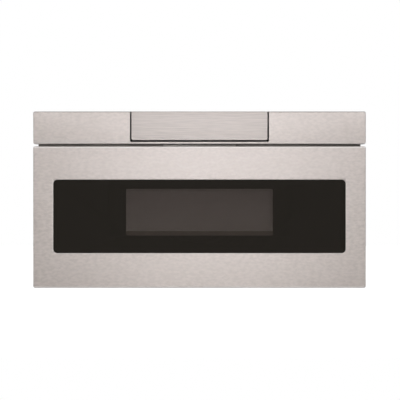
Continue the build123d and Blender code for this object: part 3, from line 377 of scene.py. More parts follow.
# Louvre hoods pressed out over the side panels' vent slots
side_low, side_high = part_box("case_side_right")
louvre_rows = 8
louvre_pitch = 0.012
louvre_rear_inset = 0.048
louvre_rear = side_high[1] - louvre_rear_inset
louvre_length = 0.064
louvre_rise = 0.0032
louvre_sheet = 0.0007
louvre_clear = 0.0001
hood_columns, hood_rows = 17, 7
hood_top = 0.0075
hood_height = 0.0082
case_height = 0.371
base_sheet = 0.0012
vent_low_share = 0.45
first_slot = side_low[2] - base_sheet + case_height * vent_low_share
for side, word in ((1, "right"), (-1, "left")):
    verts, faces = [], []
    for row in range(louvre_rows):
        start = len(verts)
        for step in range(hood_rows):
            share = step / (hood_rows - 1)
            for column in range(hood_columns):
                along = column / (hood_columns - 1)
                swell = max(0.0, math.sin(math.pi * along)) ** 0.4
                rise = louvre_rise * swell * math.sin(share * math.pi * 0.55) ** 0.8
                verts.append((
                    side * (side_high[0] + louvre_clear + rise),
                    louvre_rear - louvre_length * along,
                    first_slot + row * louvre_pitch + hood_top - hood_height * share))
        hood = grid_faces(hood_rows, hood_columns)
        faces += [tuple(start + corner for corner in face) for face in hood]
    hoods = new_piece("side_louvres_" + word, verts, faces, "case", case_steel)
    thickened(hoods, louvre_sheet)

# Stiffening beads pressed out of the side panels, the top panel and the back plate. A bead's
# section is its half width and its rise.
bead_section = (0.009, 0.0022)
top_bead_section = (0.011, 0.0026)
cross_bead_section = (0.007, 0.0020)
bead_lift = 0.00005
bead_inset, top_bead_rear_inset = 0.07, 0.05
side_bead_heights = (0.070, 0.320)
top_bead_places = (-0.235, -0.08, 0.08, 0.235)
back_bead_places = (-0.30, -0.02, 0.09)
back_bead_bottom, back_bead_top = 0.12, 0.33
cross_bead_left, cross_bead_right, cross_bead_height = -0.26, 0.10, 0.345


def bead(verts, faces, start, end, half_width, rise, lift):
    """A crowned bead between two points, raised along lift, with its ends rounded down."""
    start, end, lift = Vector(start), Vector(end), Vector(lift)
    along = (end - start).normalized()
    across = along.cross(lift)
    first = len(verts)
    steps, columns = 41, 9
    length = (end - start).length
    for step in range(steps):
        place = length * step / (steps - 1)
        from_end = min(place, length - place) / (2 * half_width)
        painted_light_downwards = math.sin(min(1.0, from_end) * math.pi / 2)
        for column in range(columns):
            side = 2 * column / (columns - 1) - 1
            height = rise * painted_light_downwards * math.cos(side * math.pi / 2) ** 1.3
            narrow = half_width * (0.35 + 0.65 * painted_light_downwards)
            verts.append(start + along * place + across * (side * narrow) + lift * height)
    strip = grid_faces(steps, columns)
    faces += [tuple(first + corner for corner in face) for face in strip]


verts, faces = [], []
for side in (-1, 1):
    wall = side * (side_high[0] + bead_lift)
    front, rear = side_low[1] + bead_inset, side_high[1] - bead_inset
    for z in side_bead_heights:
        bead(verts, faces, (wall, front, z), (wall, rear, z), *bead_section, (side, 0, 0))
new_piece("side_panel_beads", verts, faces, "case", case_steel)

verts, faces = [], []
top_low, top_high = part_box("case_top_panel")
top = top_high[2] + bead_lift
front, rear = top_low[1] + bead_inset, top_high[1] - top_bead_rear_inset
for x in top_bead_places:
    bead(verts, faces, (x, front, top), (x, rear, top), *top_bead_section, (0, 0, 1))
new_piece("top_panel_beads", verts, faces, "case", case_steel)

verts, faces = [], []
back_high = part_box("back_plate")[1]
back = back_high[1] + bead_lift
for x in back_bead_places:
    start, end = (x, back, back_bead_bottom), (x, back, back_bead_top)
    bead(verts, faces, start, end, *bead_section, (0, 1, 0))
start = (cross_bead_left, back, cross_bead_height)
end = (cross_bead_right, back, cross_bead_height)
bead(verts, faces, start, end, *cross_bead_section, (0, 1, 0))
new_piece("back_plate_beads", verts, faces, "case", case_steel)

# Raised ring pressed round the fan's intake
ring_centre = (0.2, 0.150)
ring_radius = 0.0635
ring_half_width = 0.005
ring_rise = 0.0024
ring_columns, ring_rows = 96, 9
verts = []
for row in range(ring_rows):
    side = 2 * row / (ring_rows - 1) - 1
    radius = ring_radius + ring_half_width * side
    rise = ring_rise * math.cos(side * math.pi / 2) ** 1.3
    for column in range(ring_columns):
        angle = 2 * math.pi * column / ring_columns
        verts.append((
            ring_centre[0] + radius * math.cos(angle), back + rise,
            ring_centre[1] + radius * math.sin(angle)))
faces = grid_faces(ring_rows, ring_columns, closed=True)
new_piece("intake_ring", verts, faces, "case", case_steel)

# Pan-head screws with a cross recess hold the top panel to the sides, and the back plate
zinc_screw, tree, shader = finish("zinc_screw", Metallic=1.0, Roughness=0.3)
worn = use(tree, edge_wear, Radius=0.0003, Breakup=400.0)
cloud = use(tree, smudges, Scale=150.0, Grain=1500.0)
colour = ramp(tree, cloud["Cloud"], [(0.0, (0.62, 0.61, 0.56)), (1.0, (0.72, 0.72, 0.70))])
feed(shader, "Base Color", blended(tree, worn["Mask"], colour, (0.85, 0.85, 0.85)))
roughened(shader, cloud["Speck"], 0.22, 0.40)
bumped(shader, cloud["Speck"], 0.1, 0.0001, worn["Normal"])


def screw_head(verts, faces, centre, out, radius, height):
    """A pan head seen from outside, with its cross recess, on a surface facing out."""
    out = Vector(out)
    right = out.orthogonal().normalized()
    up = out.cross(right)
    profile = [
        (1.0, 0.0), (1.0, 0.35), (0.93, 0.72), (0.78, 0.93),
        (0.58, 1.0), (0.44, 1.0), (0.3, 1.0), (0.16, 1.0)]
    first = len(verts)
    columns = 32
    for share, lift in profile:
        for column in range(columns):
            angle = 2 * math.pi * column / columns
            a, b = math.cos(angle) * share, math.sin(angle) * share
            deep = share < 0.5 and min(abs(a), abs(b)) < 0.11
            rise = height * (lift - (0.75 if deep else 0.0))
            verts.append(Vector(centre) + (right * a + up * b) * radius + out * rise)
    rings = grid_faces(len(profile), columns, closed=True)
    faces += [tuple(first + corner for corner in face) for face in rings]
    verts.append(Vector(centre) + out * height * 0.2)
    last = first + (len(profile) - 1) * columns
    for column in range(columns):
        faces.append((last + column, last + (column + 1) % columns, len(verts) - 1))


screw_radius, screw_height = 0.004, 0.002
edge_screws, edge_inset, edge_drop = 5, 0.03, 0.009
edge_run = side_high[1] - side_low[1] - 2 * edge_inset
verts, faces = [], []
for side in (-1, 1):
    for step in range(edge_screws):
        y = side_low[1] + edge_inset + step * edge_run / (edge_screws - 1)
        centre = (side * side_high[0], y, side_high[2] - edge_drop)
        screw_head(verts, faces, centre, (side, 0, 0), screw_radius, screw_height)
new_piece("top_panel_screws", verts, faces, "case", zinc_screw)

back_rows, back_lowest, back_highest = 4, 0.0252, 0.347
back_screw_inset = 0.006
screw_x = back_high[0] - back_screw_inset
verts, faces = [], []
for side in (-1, 1):
    for step in range(back_rows):
        z = back_lowest + step * (back_highest - back_lowest) / (back_rows - 1)
        centre = (side * screw_x, back_high[1], z)
        screw_head(verts, faces, centre, (0, 1, 0), screw_radius, screw_height)
screws = new_piece("back_plate_screws", verts, faces, "case", zinc_screw)
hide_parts("case_screws")


# ------------------------------------------------------------------ mounting frame
# A pressed frame in dark semi-matt enamel, screwed to the cabinet through its flange. Behind
# the gap over the drawer it carries a flat air deflector of thinner, lighter painted sheet.
def enamel(name, low, high, roughness, speckle, edge, flake=0.0):
    """Baked enamel: a slight orange peel, fine specks and rubbed edges; flake makes it metallic."""
    material, tree, shader = finish(name, Metallic=flake)
    cloud = use(tree, smudges, Scale=9.0, Grain=speckle)
    worn = use(tree, edge_wear, Radius=0.0007, Breakup=90.0)
    colour = ramp(tree, cloud["Speck"], [(0.38, low), (0.62, high)])
    feed(shader, "Base Color", blended(tree, worn["Mask"], colour, edge, share=0.7))
    roughened(shader, cloud["Cloud"], roughness - 0.05, roughness + 0.08, (0, 1))
    peel = use(tree, smudges, Scale=450.0, Grain=1300.0)
    bumped(shader, peel["Cloud"], 0.10, 0.0003, worn["Normal"])
    return material


frame_enamel = enamel(
    "frame_enamel", (0.215, 0.200, 0.185), (0.262, 0.243, 0.227), 0.36, 700.0,
    (0.36, 0.34, 0.32), flake=0.7)
dress(frame_enamel, "front_frame")

deflector_paint = enamel(
    "deflector_paint", (0.60, 0.56, 0.53), (0.68, 0.635, 0.60), 0.40, 900.0,
    (0.62, 0.59, 0.56), flake=0.6)
deflector_half = 0.0835
deflector_sheet = 0.0008
deflector_clear = 0.0005
deflector_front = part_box("front_frame")[0][1] - deflector_clear
deflector_rows = (0.294, 0.300, 0.306, 0.312, 0.3149)
deflector_columns = 57
verts = []
for z in deflector_rows:
    for column in range(deflector_columns):
        share = 2 * column / (deflector_columns - 1) - 1
        verts.append((share * deflector_half, deflector_front, z))
faces = grid_faces(len(deflector_rows), deflector_columns)
deflector = new_piece("air_deflector", verts, faces, "case", deflector_paint)
thickened(deflector, deflector_sheet, bevel=0.0002)


# ------------------------------------------------------------------ oven cavity
# A box of steel sheet in pale grey speckled enamel, with a flush ceramic disc in its floor over
# the stirrer's bowl and a boxed lamp behind its back.
cavity_enamel = enamel(
    "cavity_enamel", (0.42, 0.42, 0.41), (0.60, 0.60, 0.585), 0.34, 1100.0, (0.36, 0.35, 0.34))
dress(
    cavity_enamel, "cavity_floor", "cavity_roof", "cavity_side_right", "cavity_side_left",
    "cavity_back", "bin_side_right", "bin_side_left", "bin_rear", "bin_frame")


def ceramic(name, low, high, roughness, coat):
    """Fired ceramic: soft clouding and a fine pitted skin."""
    material, tree, shader = finish(name, Coat_Weight=coat, Coat_Roughness=0.05)
    cloud = use(tree, smudges, Scale=14.0, Grain=1600.0)
    colour = ramp(tree, cloud["Cloud"], [(0.0, low), (1.0, high)])
    pits = spread(tree, cloud["Speck"], 0.62, 0.7, 0, 0.35)
    feed(shader, "Base Color", blended(tree, pits, colour, low))
    roughened(shader, cloud["Speck"], roughness - 0.06, roughness + 0.06)
    bumped(shader, cloud["Speck"], 0.06, 0.0002)
    return material


cover_ceramic = ceramic("cover_ceramic", (0.66, 0.64, 0.59), (0.76, 0.74, 0.69), 0.45, 0.1)
dress(cover_ceramic, "stirrer_cover")


# ------------------------------------------------------------------ stirrer and microwave source
# Aluminium stirrer vanes on a shaft from a small motor, a sheet waveguide, and the magnetron
# with its cooling fins, all under and behind the cavity.
def bare_metal(name, low, high, roughness, lines, edge=(0.85, 0.85, 0.86)):
    """Bare or plated metal with drawn lines, soft stains and bright edges."""
    material, tree, shader = finish(name, Metallic=1.0)
    drawn = use(tree, drawn_lines, Stretch=lines)
    cloud = use(tree, smudges, Scale=12.0, Grain=900.0)
    worn = use(tree, edge_wear, Radius=0.0004, Breakup=120.0)
    colour = ramp(tree, drawn["Tone"], [(0.3, low), (0.7, high)])
    colour = blended(tree, cloud["Cloud"], colour, low, share=0.2)
    feed(shader, "Base Color", blended(tree, worn["Mask"], colour, edge))
    roughened(shader, drawn["Tone"], roughness - 0.06, roughness + 0.08)
    bumped(shader, drawn["Height"], 0.10, 0.0002, worn["Normal"])
    return material


source_metal = bare_metal(
    "source_metal", (0.66, 0.66, 0.67), (0.80, 0.80, 0.81), 0.32, (60.0, 60.0, 900.0))
dress(source_metal, "stirrer", "magnetron", "high_voltage_capacitor")
duct_steel = bare_metal(
    "duct_steel", (0.55, 0.56, 0.57), (0.68, 0.68, 0.69), 0.36, (900.0, 20.0, 900.0))
dress(duct_steel, "waveguide")
motor_steel = enamel(
    "motor_steel", (0.20, 0.20, 0.21), (0.28, 0.28, 0.29), 0.38, 900.0, (0.5, 0.5, 0.5))
dress(motor_steel, "stirrer_motor", "fan_motor", "drive_motor", "tilt_motor")


# ------------------------------------------------------------------ fan and power parts
# A moulded axial fan in its shroud behind the back plate's slots, the oven transformer with
# varnished laminations and windings, and a small noise-filter board.
def moulding(name, low, high, roughness, grain, rise=0.00025):
    """Moulded plastic: a fine spark-eroded texture with polished, slightly paler edges."""
    material, tree, shader = finish(name, Specular_IOR_Level=0.45)
    cloud = use(tree, smudges, Scale=10.0, Grain=grain)
    worn = use(tree, edge_wear, Radius=0.0006, Breakup=60.0)
    colour = ramp(tree, cloud["Cloud"], [(0.0, low), (1.0, high)])
    pale = tuple(min(1.0, channel * 1.8 + 0.01) for channel in high)
    feed(shader, "Base Color", blended(tree, worn["Mask"], colour, pale, share=0.5))
    roughened(shader, cloud["Speck"], roughness - 0.07, roughness + 0.07)
    bumped(shader, cloud["Speck"], 0.22, rise, worn["Normal"])
    return material


fan_plastic = moulding(
    "fan_plastic", (0.030, 0.031, 0.034), (0.045, 0.046, 0.050), 0.5, 1400.0)
dress(fan_plastic, "fan_blades", "fan_shroud")

core_varnish, tree, shader = finish("core_varnish", Coat_Weight=0.4, Coat_Roughness=0.25)
layers = use(tree, drawn_lines, Stretch=(12.0, 1500.0, 12.0))
cloud = use(tree, smudges, Scale=40.0, Grain=700.0)
worn = use(tree, edge_wear, Radius=0.0005, Breakup=100.0)
colour = ramp(tree, layers["Tone"], [(0.3, (0.055, 0.030, 0.018)), (0.7, (0.16, 0.085, 0.045))])
colour = blended(tree, cloud["Cloud"], colour, (0.05, 0.035, 0.03), share=0.4)
feed(shader, "Base Color", blended(tree, worn["Mask"], colour, (0.35, 0.22, 0.13)))
roughened(shader, cloud["Speck"], 0.35, 0.6)
bumped(shader, layers["Height"], 0.5, 0.0006, worn["Normal"])
dress(core_varnish, "power_transformer")

solder_mask, tree, shader = finish("solder_mask", Specular_IOR_Level=0.6)
cloud = use(tree, smudges, Scale=60.0, Grain=2500.0)
worn = use(tree, edge_wear, Radius=0.0003, Breakup=300.0)
colour = ramp(tree, cloud["Cloud"], [
    (0.0, (0.010, 0.090, 0.040)), (0.48, (0.012, 0.12, 0.055)), (0.52, (0.020, 0.17, 0.08))])
feed(shader, "Base Color", blended(tree, worn["Mask"], colour, (0.35, 0.33, 0.18)))
roughened(shader, cloud["Speck"], 0.25, 0.45)
bumped(shader, cloud["Cloud"], 0.15, 0.0001, worn["Normal"])
dress(solder_mask, "filter_board", "control_board")

black_moulding = moulding(
    "black_moulding", (0.018, 0.018, 0.018), (0.028, 0.028, 0.028), 0.46, 1300.0)
dress(
    black_moulding, "choke_cover", "control_housing", "control_wedge",
    "rack_guide", "interlock_switches", "interlock_plungers", "cord_gland")


# ------------------------------------------------------------------ slides and rack drive
# Three-part ball slides in bright zinc plate stand each side of the cavity. An acetal rack along
# the middle of the base is driven by a pinion on the gearmotor.
slide_zinc = bare_metal(
    "slide_zinc", (0.60, 0.61, 0.62), (0.74, 0.75, 0.76), 0.28, (900.0, 14.0, 900.0))
dress(
    slide_zinc, "slide_outer_right", "slide_outer_left", "slide_middle_members",
    "slide_inner_right", "slide_inner_left", "inner_ball_cages", "outer_ball_cages", "oven_lamp")
acetal = moulding(
    "acetal", (0.085, 0.087, 0.090), (0.115, 0.118, 0.122), 0.38, 1500.0, rise=0.0001)
dress(acetal, "drive_rack", "drive_pinion", "tilt_pinion")
rubber = moulding(
    "rubber", (0.016, 0.016, 0.016), (0.026, 0.026, 0.025), 0.7, 900.0, rise=0.0003)
dress(rubber, "door_bumpers")


# ------------------------------------------------------------------ drawer front
# A stainless tray with rolled edges, brushed across, holds a black glass pane on a moulded
# retainer. Behind the window lie a perforated screen, a steel inner plate and the choke.
brushed_grain, given, result = effect(
    "brushed_grain",
    [("Lines", "Vector", (12.0, 12.0, 1200.0)), ("Mottle", "Vector", (120.0, 120.0, 330.0))],
    [("Tone", "Float"), ("Height", "Float")])
place = own_place(brushed_grain)
scratches = noise(brushed_grain, drawn_out(brushed_grain, place, given["Lines"]), 1.0, 3.0)
flecks = noise(brushed_grain, drawn_out(brushed_grain, place, given["Mottle"]), 1.0, 1.0)
patches = noise(brushed_grain, place, 4.0, 2.0)
tone = maths(brushed_grain, "MULTIPLY", scratches, 0.18)
for marks, share in ((flecks, 0.72), (patches, 0.10)):
    tone = maths(brushed_grain, "ADD", tone, maths(brushed_grain, "MULTIPLY", marks, share))
brushed_grain.links.new(tone, result["Tone"])
brushed_grain.links.new(maths(brushed_grain, "ADD", scratches, flecks), result["Height"])


def dimmed(colour, share):
    """A colour with each channel multiplied by a share."""
    return tuple(share * channel for channel in colour)


def brushed_stainless(name, tint, contrast, lines, mottle, roughness):
    """Brushed stainless sheet, warm in tone: scratches across, short flecks and soft patches."""
    material, tree, shader = finish(name, Metallic=1.0)
    grain = use(tree, brushed_grain, Lines=lines, Mottle=mottle)
    worn = use(tree, edge_wear, Radius=0.0005, Breakup=200.0)
    limits = (0.36, 0.64)
    dark, light = dimmed(tint, 1 - contrast), dimmed(tint, 1 + contrast)
    colour = ramp(tree, grain["Tone"], [(limits[0], dark), (limits[1], light)])
    roughened(shader, grain["Tone"], roughness - 0.04, roughness + 0.04, limits)
    bumped(shader, grain["Height"], 0.16, 0.0002, worn["Normal"])
    feed(shader, "Base Color", colour)
    return material, tree, shader, colour


def parts_of(tree, vector):
    """A vector's X, Y and Z."""
    return node(tree, "SeparateXYZ", {"Vector": vector}).outputs


def bowed(shader, distance, radius):
    """Bends the shader's normal as a round of this radius would, by the distance from its crest."""
    tree = shader.id_data
    height = maths(tree, "DIVIDE", maths(tree, "MULTIPLY", distance, distance), -2 * radius)
    bumped(shader, height, 1.0, 1.0, shader.inputs["Normal"].links[0].from_socket)


face_tint = (0.672, 0.614, 0.582)
face_lines, face_mottle = (10.0, 10.0, 1000.0), (103.0, 103.0, 192.0)
face_steel, tree, shader, colour = brushed_stainless(
    "face_steel", face_tint, 0.075, face_lines, face_mottle, 0.40)
place = parts_of(tree, own_place(tree))
face_middle, face_half = (face_low[2] + face_high[2]) / 2, (face_high[2] - face_low[2]) / 2
from_middle = maths(tree, "ABSOLUTE", maths(tree, "SUBTRACT", place["Z"], face_middle))
lean = maths(tree, "ABSOLUTE", parts_of(tree, node(tree, "NewGeometry").outputs["Normal"])["Z"])
# Painted highlight: the rounded top and bottom edges of the face are painted a much paler steel,
# standing in for the light they catch.
highlight_from, highlight_to = 0.0038, 0.0030
at_edge = spread(tree, from_middle, face_half - highlight_from, face_half - highlight_to)
painted_highlight = maths(tree, "MULTIPLY", at_edge, spread(tree, lean, 0.75, 0.45))
feed(shader, "Base Color", blended(tree, painted_highlight, colour, (0.84, 0.80, 0.775)))

pane_low, pane_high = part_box("glass_panel")
pane_middle, pane_half = (pane_low[2] + pane_high[2]) / 2, (pane_high[2] - pane_low[2]) / 2
roll_reach = 0.0038
roll_radius = 0.009
beside = maths(tree, "SUBTRACT", maths(tree, "ABSOLUTE", place["X"]), pane_high[0])
from_middle = maths(tree, "ABSOLUTE", maths(tree, "SUBTRACT", place["Z"], pane_middle))
above = maths(tree, "SUBTRACT", from_middle, pane_half)
to_edge = maths(tree, "SUBTRACT", roll_reach, maths(tree, "MAXIMUM", beside, above))
bowed(shader, maths(tree, "MAXIMUM", to_edge, 0.0), roll_radius)
dress(face_steel, "drawer_face")

# The strip's sheet is bowed a little. A thin band along its upper edge is painted dark as painted
# shade, and its faces turned down are painted pale as a painted highlight
strip_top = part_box("control_fascia")[1][2]
bow_crest = strip_top - 0.012
strip_bow_radius = 0.45
strip_shade_from, strip_shade_to = 0.0018, 0.0010
strip_steel, tree, shader, colour = brushed_stainless(
    "strip_steel", dimmed(face_tint, 1.025), 0.070, face_lines, face_mottle, 0.40)
height = parts_of(tree, own_place(tree))["Z"]
facing = parts_of(tree, node(tree, "NewGeometry").outputs["Normal"])["Z"]
# Painted highlight: faces of the strip turned downwards, its underside and lower rounding, are
# painted near white as if lit from below.
colour = blended(tree, spread(tree, facing, -0.15, -0.5), colour, (0.98, 0.94, 0.92))
# Painted shade: a thin band along the strip's top edge is painted dark.
painted_shade_edge = spread(tree, height, strip_top - strip_shade_from, strip_top - strip_shade_to)
feed(shader, "Base Color", blended(tree, painted_shade_edge, colour, dimmed(face_tint, 0.42)))
bowed(shader, maths(tree, "SUBTRACT", height, bow_crest), strip_bow_radius)
dress(strip_steel, "control_fascia")

# The flap is cut from a darker sheet with a longer grain
flap_bow_radius = 0.5
flap_shade_from, flap_shade_to = 0.0014, 0.0006
flap_steel, tree, shader, colour = brushed_stainless(
    "flap_steel", dimmed(face_tint, 0.835), 0.11, (1.2, 1.2, 450.0), (20.0, 20.0, 330.0), 0.39)
height = parts_of(tree, own_place(tree))["Z"]
# Painted shade: a thin band along the flap's top edge is painted dark.
painted_shade_edge = spread(tree, height, strip_top - flap_shade_from, strip_top - flap_shade_to)
feed(shader, "Base Color", blended(tree, painted_shade_edge, colour, dimmed(face_tint, 0.5)))
bowed(shader, maths(tree, "SUBTRACT", height, bow_crest), flap_bow_radius)
dress(flap_steel, "control_flap")


def clear_pane(name, tint):
    """Smooth glass that lets shadow rays through in its own tint."""
    material, tree, shader = finish(
        name, Base_Color=tint, Roughness=0.0, Transmission_Weight=1.0, IOR=1.5)
    veil = node(tree, "BsdfTransparent", {"Color": (*(channel ** 0.5 for channel in tint), 1.0)})
    shadow = node(tree, "LightPath").outputs["Is Shadow Ray"]
    both = node(tree, "MixShader", {0: shadow, 1: shader.outputs[0], 2: veil.outputs[0]})
    tree.links.new(both.outputs[0], tree.nodes["Material Output"].inputs["Surface"])
    return material


black_frit, tree, shader = finish("black_frit", Specular_IOR_Level=0.3)
cloud = use(tree, smudges, Scale=9.0, Grain=300.0)
colour = ramp(tree, cloud["Cloud"], [(0.0, (0.020, 0.018, 0.016)), (1.0, (0.026, 0.023, 0.021))])
feed(shader, "Base Color", colour)
roughened(shader, cloud["Cloud"], 0.50, 0.60, (0, 1))
dress(black_frit, "glass_retainer")
dress(clear_pane("black_glass", (0.470, 0.450, 0.430)), "glass_panel")
dress(clear_pane("clear_glass", (0.86, 0.90, 0.89)), "inner_window")

key_glass, tree, shader = finish("key_glass", Coat_Weight=1.0, Coat_Roughness=0.03)
cloud = use(tree, smudges, Scale=9.0, Grain=800.0)
worn = use(tree, edge_wear, Radius=0.0004, Breakup=60.0)
colour = ramp(tree, cloud["Cloud"], [(0.0, (0.010, 0.010, 0.011)), (1.0, (0.014, 0.014, 0.015))])
feed(shader, "Base Color", blended(tree, worn["Mask"], colour, (0.08, 0.09, 0.09), share=0.4))
roughened(shader, cloud["Cloud"], 0.06, 0.14, (0, 1))
bumped(shader, cloud["Cloud"], 0.01, 0.0004, worn["Normal"])
dress(key_glass, "key_panel")

# Perforated screen: grey enamel with staggered holes. The field of holes is painted lighter towards
# the bottom as painted light, and its plain border is painted much darker as painted shade
hole_pitch, hole_share = 0.0019, 0.33
field_half, field_bottom, field_top = 0.1674, 0.1165, 0.2130
screen_enamel, tree, shader = finish("screen_enamel", Metallic=0.0)
place = parts_of(tree, own_place(tree))
flat_place = node(tree, "CombineXYZ", {"X": place["X"], "Y": place["Z"]}).outputs[0]
turn = node(
    tree, "VectorRotate", {"Vector": flat_place, "Angle": math.radians(45)}, rotation_type="Z_AXIS")
cells = node(
    tree, "TexVoronoi", {"Vector": turn.outputs[0], "Scale": 1 / hole_pitch, "Randomness": 0.0},
    voronoi_dimensions="2D")
hole = maths(tree, "LESS_THAN", cells.outputs["Distance"], hole_share)
field = maths(tree, "LESS_THAN", maths(tree, "ABSOLUTE", place["X"]), field_half)
for side, limit in (("GREATER_THAN", field_bottom), ("LESS_THAN", field_top)):
    field = maths(tree, "MULTIPLY", field, maths(tree, side, place["Z"], limit))
punched = maths(tree, "MULTIPLY", hole, field)
feed(shader, "Alpha", maths(tree, "SUBTRACT", 1.0, punched))
cloud = use(tree, smudges, Scale=8.0, Grain=500.0)
# Painted light: the field's colour grows lighter towards the bottom.
painted_light_downwards = spread(tree, place["Z"], field_top, field_bottom)
base = ramp(tree, painted_light_downwards, [(0.0, (0.420, 0.362, 0.388)), (1.0, (0.562, 0.505, 0.515))])
base = blended(tree, cloud["Cloud"], base, (0.24, 0.20, 0.20), share=0.10)
# Painted shade: the plain border round the holes is painted far darker than the field.
feed(shader, "Base Color", blended(tree, field, (0.152, 0.120, 0.112), base))
roughened(shader, cloud["Speck"], 0.40, 0.55)
bumped(shader, cells.outputs["Distance"], 0.2, 0.0004)
dress(screen_enamel, "window_screen")

inner_steel = bare_metal(
    "inner_steel", (0.52, 0.53, 0.54), (0.66, 0.67, 0.68), 0.38, (16.0, 16.0, 700.0))
dress(inner_steel, "inner_door_plate", "choke_frame")

# Screws through the slides' front tabs, two by two
tab_low, tab_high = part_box("slide_inner_right")
tab_sheet = 0.0014
tab_rear = tab_low[1] + tab_sheet
tab_insets = (0.010, 0.028)
tab_middle, tab_half_step = 0.132, 0.008
tab_screw_radius, tab_screw_height = 0.0032, 0.0016
verts, faces = [], []
for side in (-1, 1):
    for inset in tab_insets:
        for z in (tab_middle - tab_half_step, tab_middle + tab_half_step):
            centre = (side * (tab_high[0] - inset), tab_rear, z)
            screw_head(verts, faces, centre, (0, 1, 0), tab_screw_radius, tab_screw_height)
new_piece("slide_tab_screws", verts, faces, "drawer", zinc_screw)


# ------------------------------------------------------------------ drawer bin
# A shallow bin behind the door: a floor frame with enamelled sides, and a glass-ceramic tray
# let into it flush.
tray_ceramic = ceramic("tray_ceramic", (0.085, 0.085, 0.088), (0.115, 0.115, 0.118), 0.16, 0.6)
dress(tray_ceramic, "glass_tray")


# ------------------------------------------------------------------ control module
# The flap in the strip is the front of a wedge that tilts out. Its sloping top is a black glass
# with printed key fields and a lit clock.
panel = nodes["key_panel"].data
face = max((p for p in panel.polygons if p.normal.z > 0.3), key=lambda p: p.area)
key_normal = Vector(face.normal)
key_faces = [p for p in panel.polygons if p.normal.dot(key_normal) > 0.99]
corners = [panel.vertices[v].co for p in key_faces for v in p.vertices]
key_centre = sum(corners, Vector()) / len(corners)
key_right = Vector((1, 0, 0))
key_up = key_normal.cross(key_right).normalized()
key_plane = Matrix((key_right, key_up, key_normal)).transposed().to_4x4()
key_plane.translation = key_centre

printed_white, tree, shader = finish("printed_white", Roughness=0.45)
cloud = use(tree, smudges, Scale=400.0, Grain=2500.0)
colour = ramp(tree, cloud["Speck"], [(0.3, (0.66, 0.67, 0.68)), (0.7, (0.78, 0.79, 0.80))])
feed(shader, "Base Color", colour)
roughened(shader, cloud["Cloud"], 0.38, 0.55, (0, 1))
clock_light, tree, shader = finish("clock_light", Roughness=0.3, Emission_Strength=2.2)
cloud = use(tree, smudges, Scale=300.0, Grain=2500.0)
colour = ramp(tree, cloud["Cloud"], [(0.0, (0.16, 0.62, 0.60)), (1.0, (0.24, 0.80, 0.76))])
feed(shader, "Base Color", colour)
feed(shader, "Emission Color", colour)


def raised_print(name, outlines, thickness, material):
    """Flat printed shapes on the key glass: outlines are rings of points, or pairs of rings."""
    verts, faces = [], []
    for shape in outlines:
        rings = shape if isinstance(shape[0][0], (tuple, list)) else [shape]
        first = len(verts)
        for level in (0.0, thickness):
            for ring in rings:
                verts += [key_plane @ Vector((x, y, level)) for x, y in ring]
        count = len(rings[0])
        layer = count * len(rings)
        for ring in range(len(rings)):
            base = first + ring * count
            for a in range(count):
                b = (a + 1) % count
                wall = (base + a, base + b, base + layer + b, base + layer + a)
                faces.append(wall if ring == 0 else wall[::-1])
        if len(rings) == 1:
            faces.append(tuple(first + layer + a for a in range(count)))
        else:
            for a in range(count):
                b = (a + 1) % count
                top = first + layer
                faces.append((top + a, top + b, top + count + b, top + count + a))
    new_piece(name, verts, faces, "control_module", material, smooth=False)


def round_box(x, y, width, height, radius):
    """Points round a rectangle with rounded corners."""
    points = []
    for sx, sy, start in ((1, 1, 0), (-1, 1, 90), (-1, -1, 180), (1, -1, 270)):
        for step in range(5):
            angle = math.radians(start + 22.5 * step)
            points.append((
                x + sx * (width / 2 - radius) + radius * math.cos(angle),
                y + sy * (height / 2 - radius) + radius * math.sin(angle)))
    return points


def ring_pair(x, y, width, height, radius, stroke):
    """A rounded outline of this stroke, as its outer and inner rings of points."""
    outer = round_box(x, y, width, height, radius)
    return [outer, round_box(x, y, width - 2 * stroke, height - 2 * stroke, radius - 0.0004)]


def key_grid(first_x, across, count):
    """Middles of keys laid out row by row."""
    pitch, row_pitch, top_row = 0.0195, 0.0165, 0.0085
    return [
        (first_x + pitch * (n % across), top_row - row_pitch * (n // across))
        for n in range(count)]


print_height = 0.00012
key_size = {"width": 0.0165, "height": 0.0125, "radius": 0.0024, "stroke": 0.00045}
digit_keys = key_grid(first_x=-0.122, across=5, count=10)
symbol_keys = key_grid(first_x=0.052, across=4, count=8)
rings = [ring_pair(x, y, **key_size) for x, y in digit_keys + symbol_keys]
raised_print("key_outlines", rings, print_height, printed_white)

digit_size, digit_height = 0.009, 0.00006
digit_meshes = []
for number, (x, y) in enumerate(digit_keys):
    text = bpy.data.curves.new("digit", "FONT")
    text.body = str((number + 1) % 10)
    text.size = digit_size
    text.extrude = digit_height
    text.align_x = text.align_y = "CENTER"
    holder = bpy.data.objects.new("digit", text)
    shift = Matrix.Translation((x, y, digit_height))
    digit_meshes.append((bpy.data.meshes.new_from_object(holder), shift))
joined = bmesh.new()
for mesh, shift in digit_meshes:
    mesh.transform(key_plane @ shift)
    joined.from_mesh(mesh)
digits = bpy.data.meshes.new("key_digits")
joined.to_mesh(digits)
joined.free()
digits.materials.clear()
digits.materials.append(printed_white)
key_digits = bpy.data.objects.new("key_digits", digits)
bpy.context.scene.collection.objects.link(key_digits)
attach(key_digits, "control_module")


def oblong(half_width, half_height, middle=0.0):
    """Corners of a plain box on the key's middle line."""
    low, high = middle - half_height, middle + half_height
    return [(-half_width, low), (half_width, low), (half_width, high), (-half_width, high)]


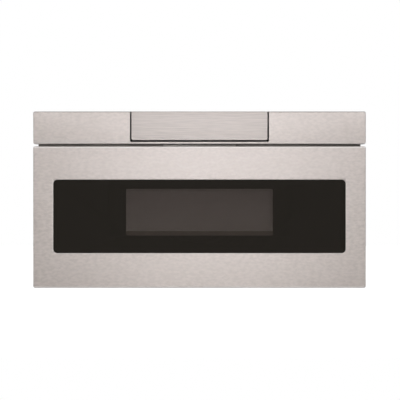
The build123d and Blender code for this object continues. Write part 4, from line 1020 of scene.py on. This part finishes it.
# Plain signs on the other keys: start, stop, plus, minus, up, down, power level and drawer
arrow = [(-0.003, -0.0035), (0.0036, 0.0), (-0.003, 0.0035)]
up_arrow = [(-0.0035, -0.003), (0.0035, -0.003), (0.0, 0.0036)]
down_arrow = [(-0.0035, 0.003), (0.0, -0.0036), (0.0035, 0.003)]
bar = oblong(0.0034, 0.0007)
levels = [oblong(0.0034, 0.0005, middle) for middle in (-0.0025, 0.0, 0.0025)]
signs = [
    [arrow], [oblong(0.003, 0.003)], [bar, oblong(0.0007, 0.0034)], [bar],
    [up_arrow], [down_arrow], levels, [round_box(0, 0, 0.007, 0.005, 0.002)]]
shapes = [
    [(x + px, y + py) for px, py in shape]
    for sign, (x, y) in zip(signs, symbol_keys) for shape in sign]
raised_print("key_signs", shapes, print_height, printed_white)

# A four-digit clock of lit segments, inside a thin printed border
segments = {
    "a": ((0, 1), True), "d": ((0, -1), True), "g": ((0, 0), True),
    "f": ((-1, 0.5), False), "b": ((1, 0.5), False),
    "e": ((-1, -0.5), False), "c": ((1, -0.5), False)}
lit_segments = {"1": "bc", "2": "abged", "3": "abgcd", "0": "abcdef"}
half_wide, half_tall, stroke, segment_gap = 0.0032, 0.0062, 0.00075, 0.0006
clock_start, clock_pitch, clock_gap = -0.0165, 0.0100, 0.003
dot_x, dot_height, dot_size, dot_corner = 0.0005, 0.0028, 0.0016, 0.0005
clock_print = 0.0001
shapes = []
for column, digit in enumerate("1230"):
    x = clock_start + clock_pitch * column + (clock_gap if column > 1 else 0.0)
    for segment in lit_segments[digit]:
        (sx, sy), flat_one = segments[segment]
        cx, cy = x + sx * half_wide, sy * half_tall
        reach = (half_wide if flat_one else half_tall / 2) - segment_gap
        if flat_one:
            shapes.append([
                (cx - reach, cy), (cx - reach + stroke, cy - stroke),
                (cx + reach - stroke, cy - stroke), (cx + reach, cy),
                (cx + reach - stroke, cy + stroke), (cx - reach + stroke, cy + stroke)])
        else:
            shapes.append([
                (cx, cy - reach), (cx + stroke, cy - reach + stroke),
                (cx + stroke, cy + reach - stroke), (cx, cy + reach),
                (cx - stroke, cy + reach - stroke), (cx - stroke, cy - reach + stroke)])
for y in (-dot_height, dot_height):
    shapes.append(round_box(dot_x, y, dot_size, dot_size, dot_corner))
raised_print("clock_digits", shapes, clock_print, clock_light)
border = ring_pair(0, 0, width=0.062, height=0.024, radius=0.003, stroke=0.0004)
raised_print("display_border", [border], clock_print, printed_white)
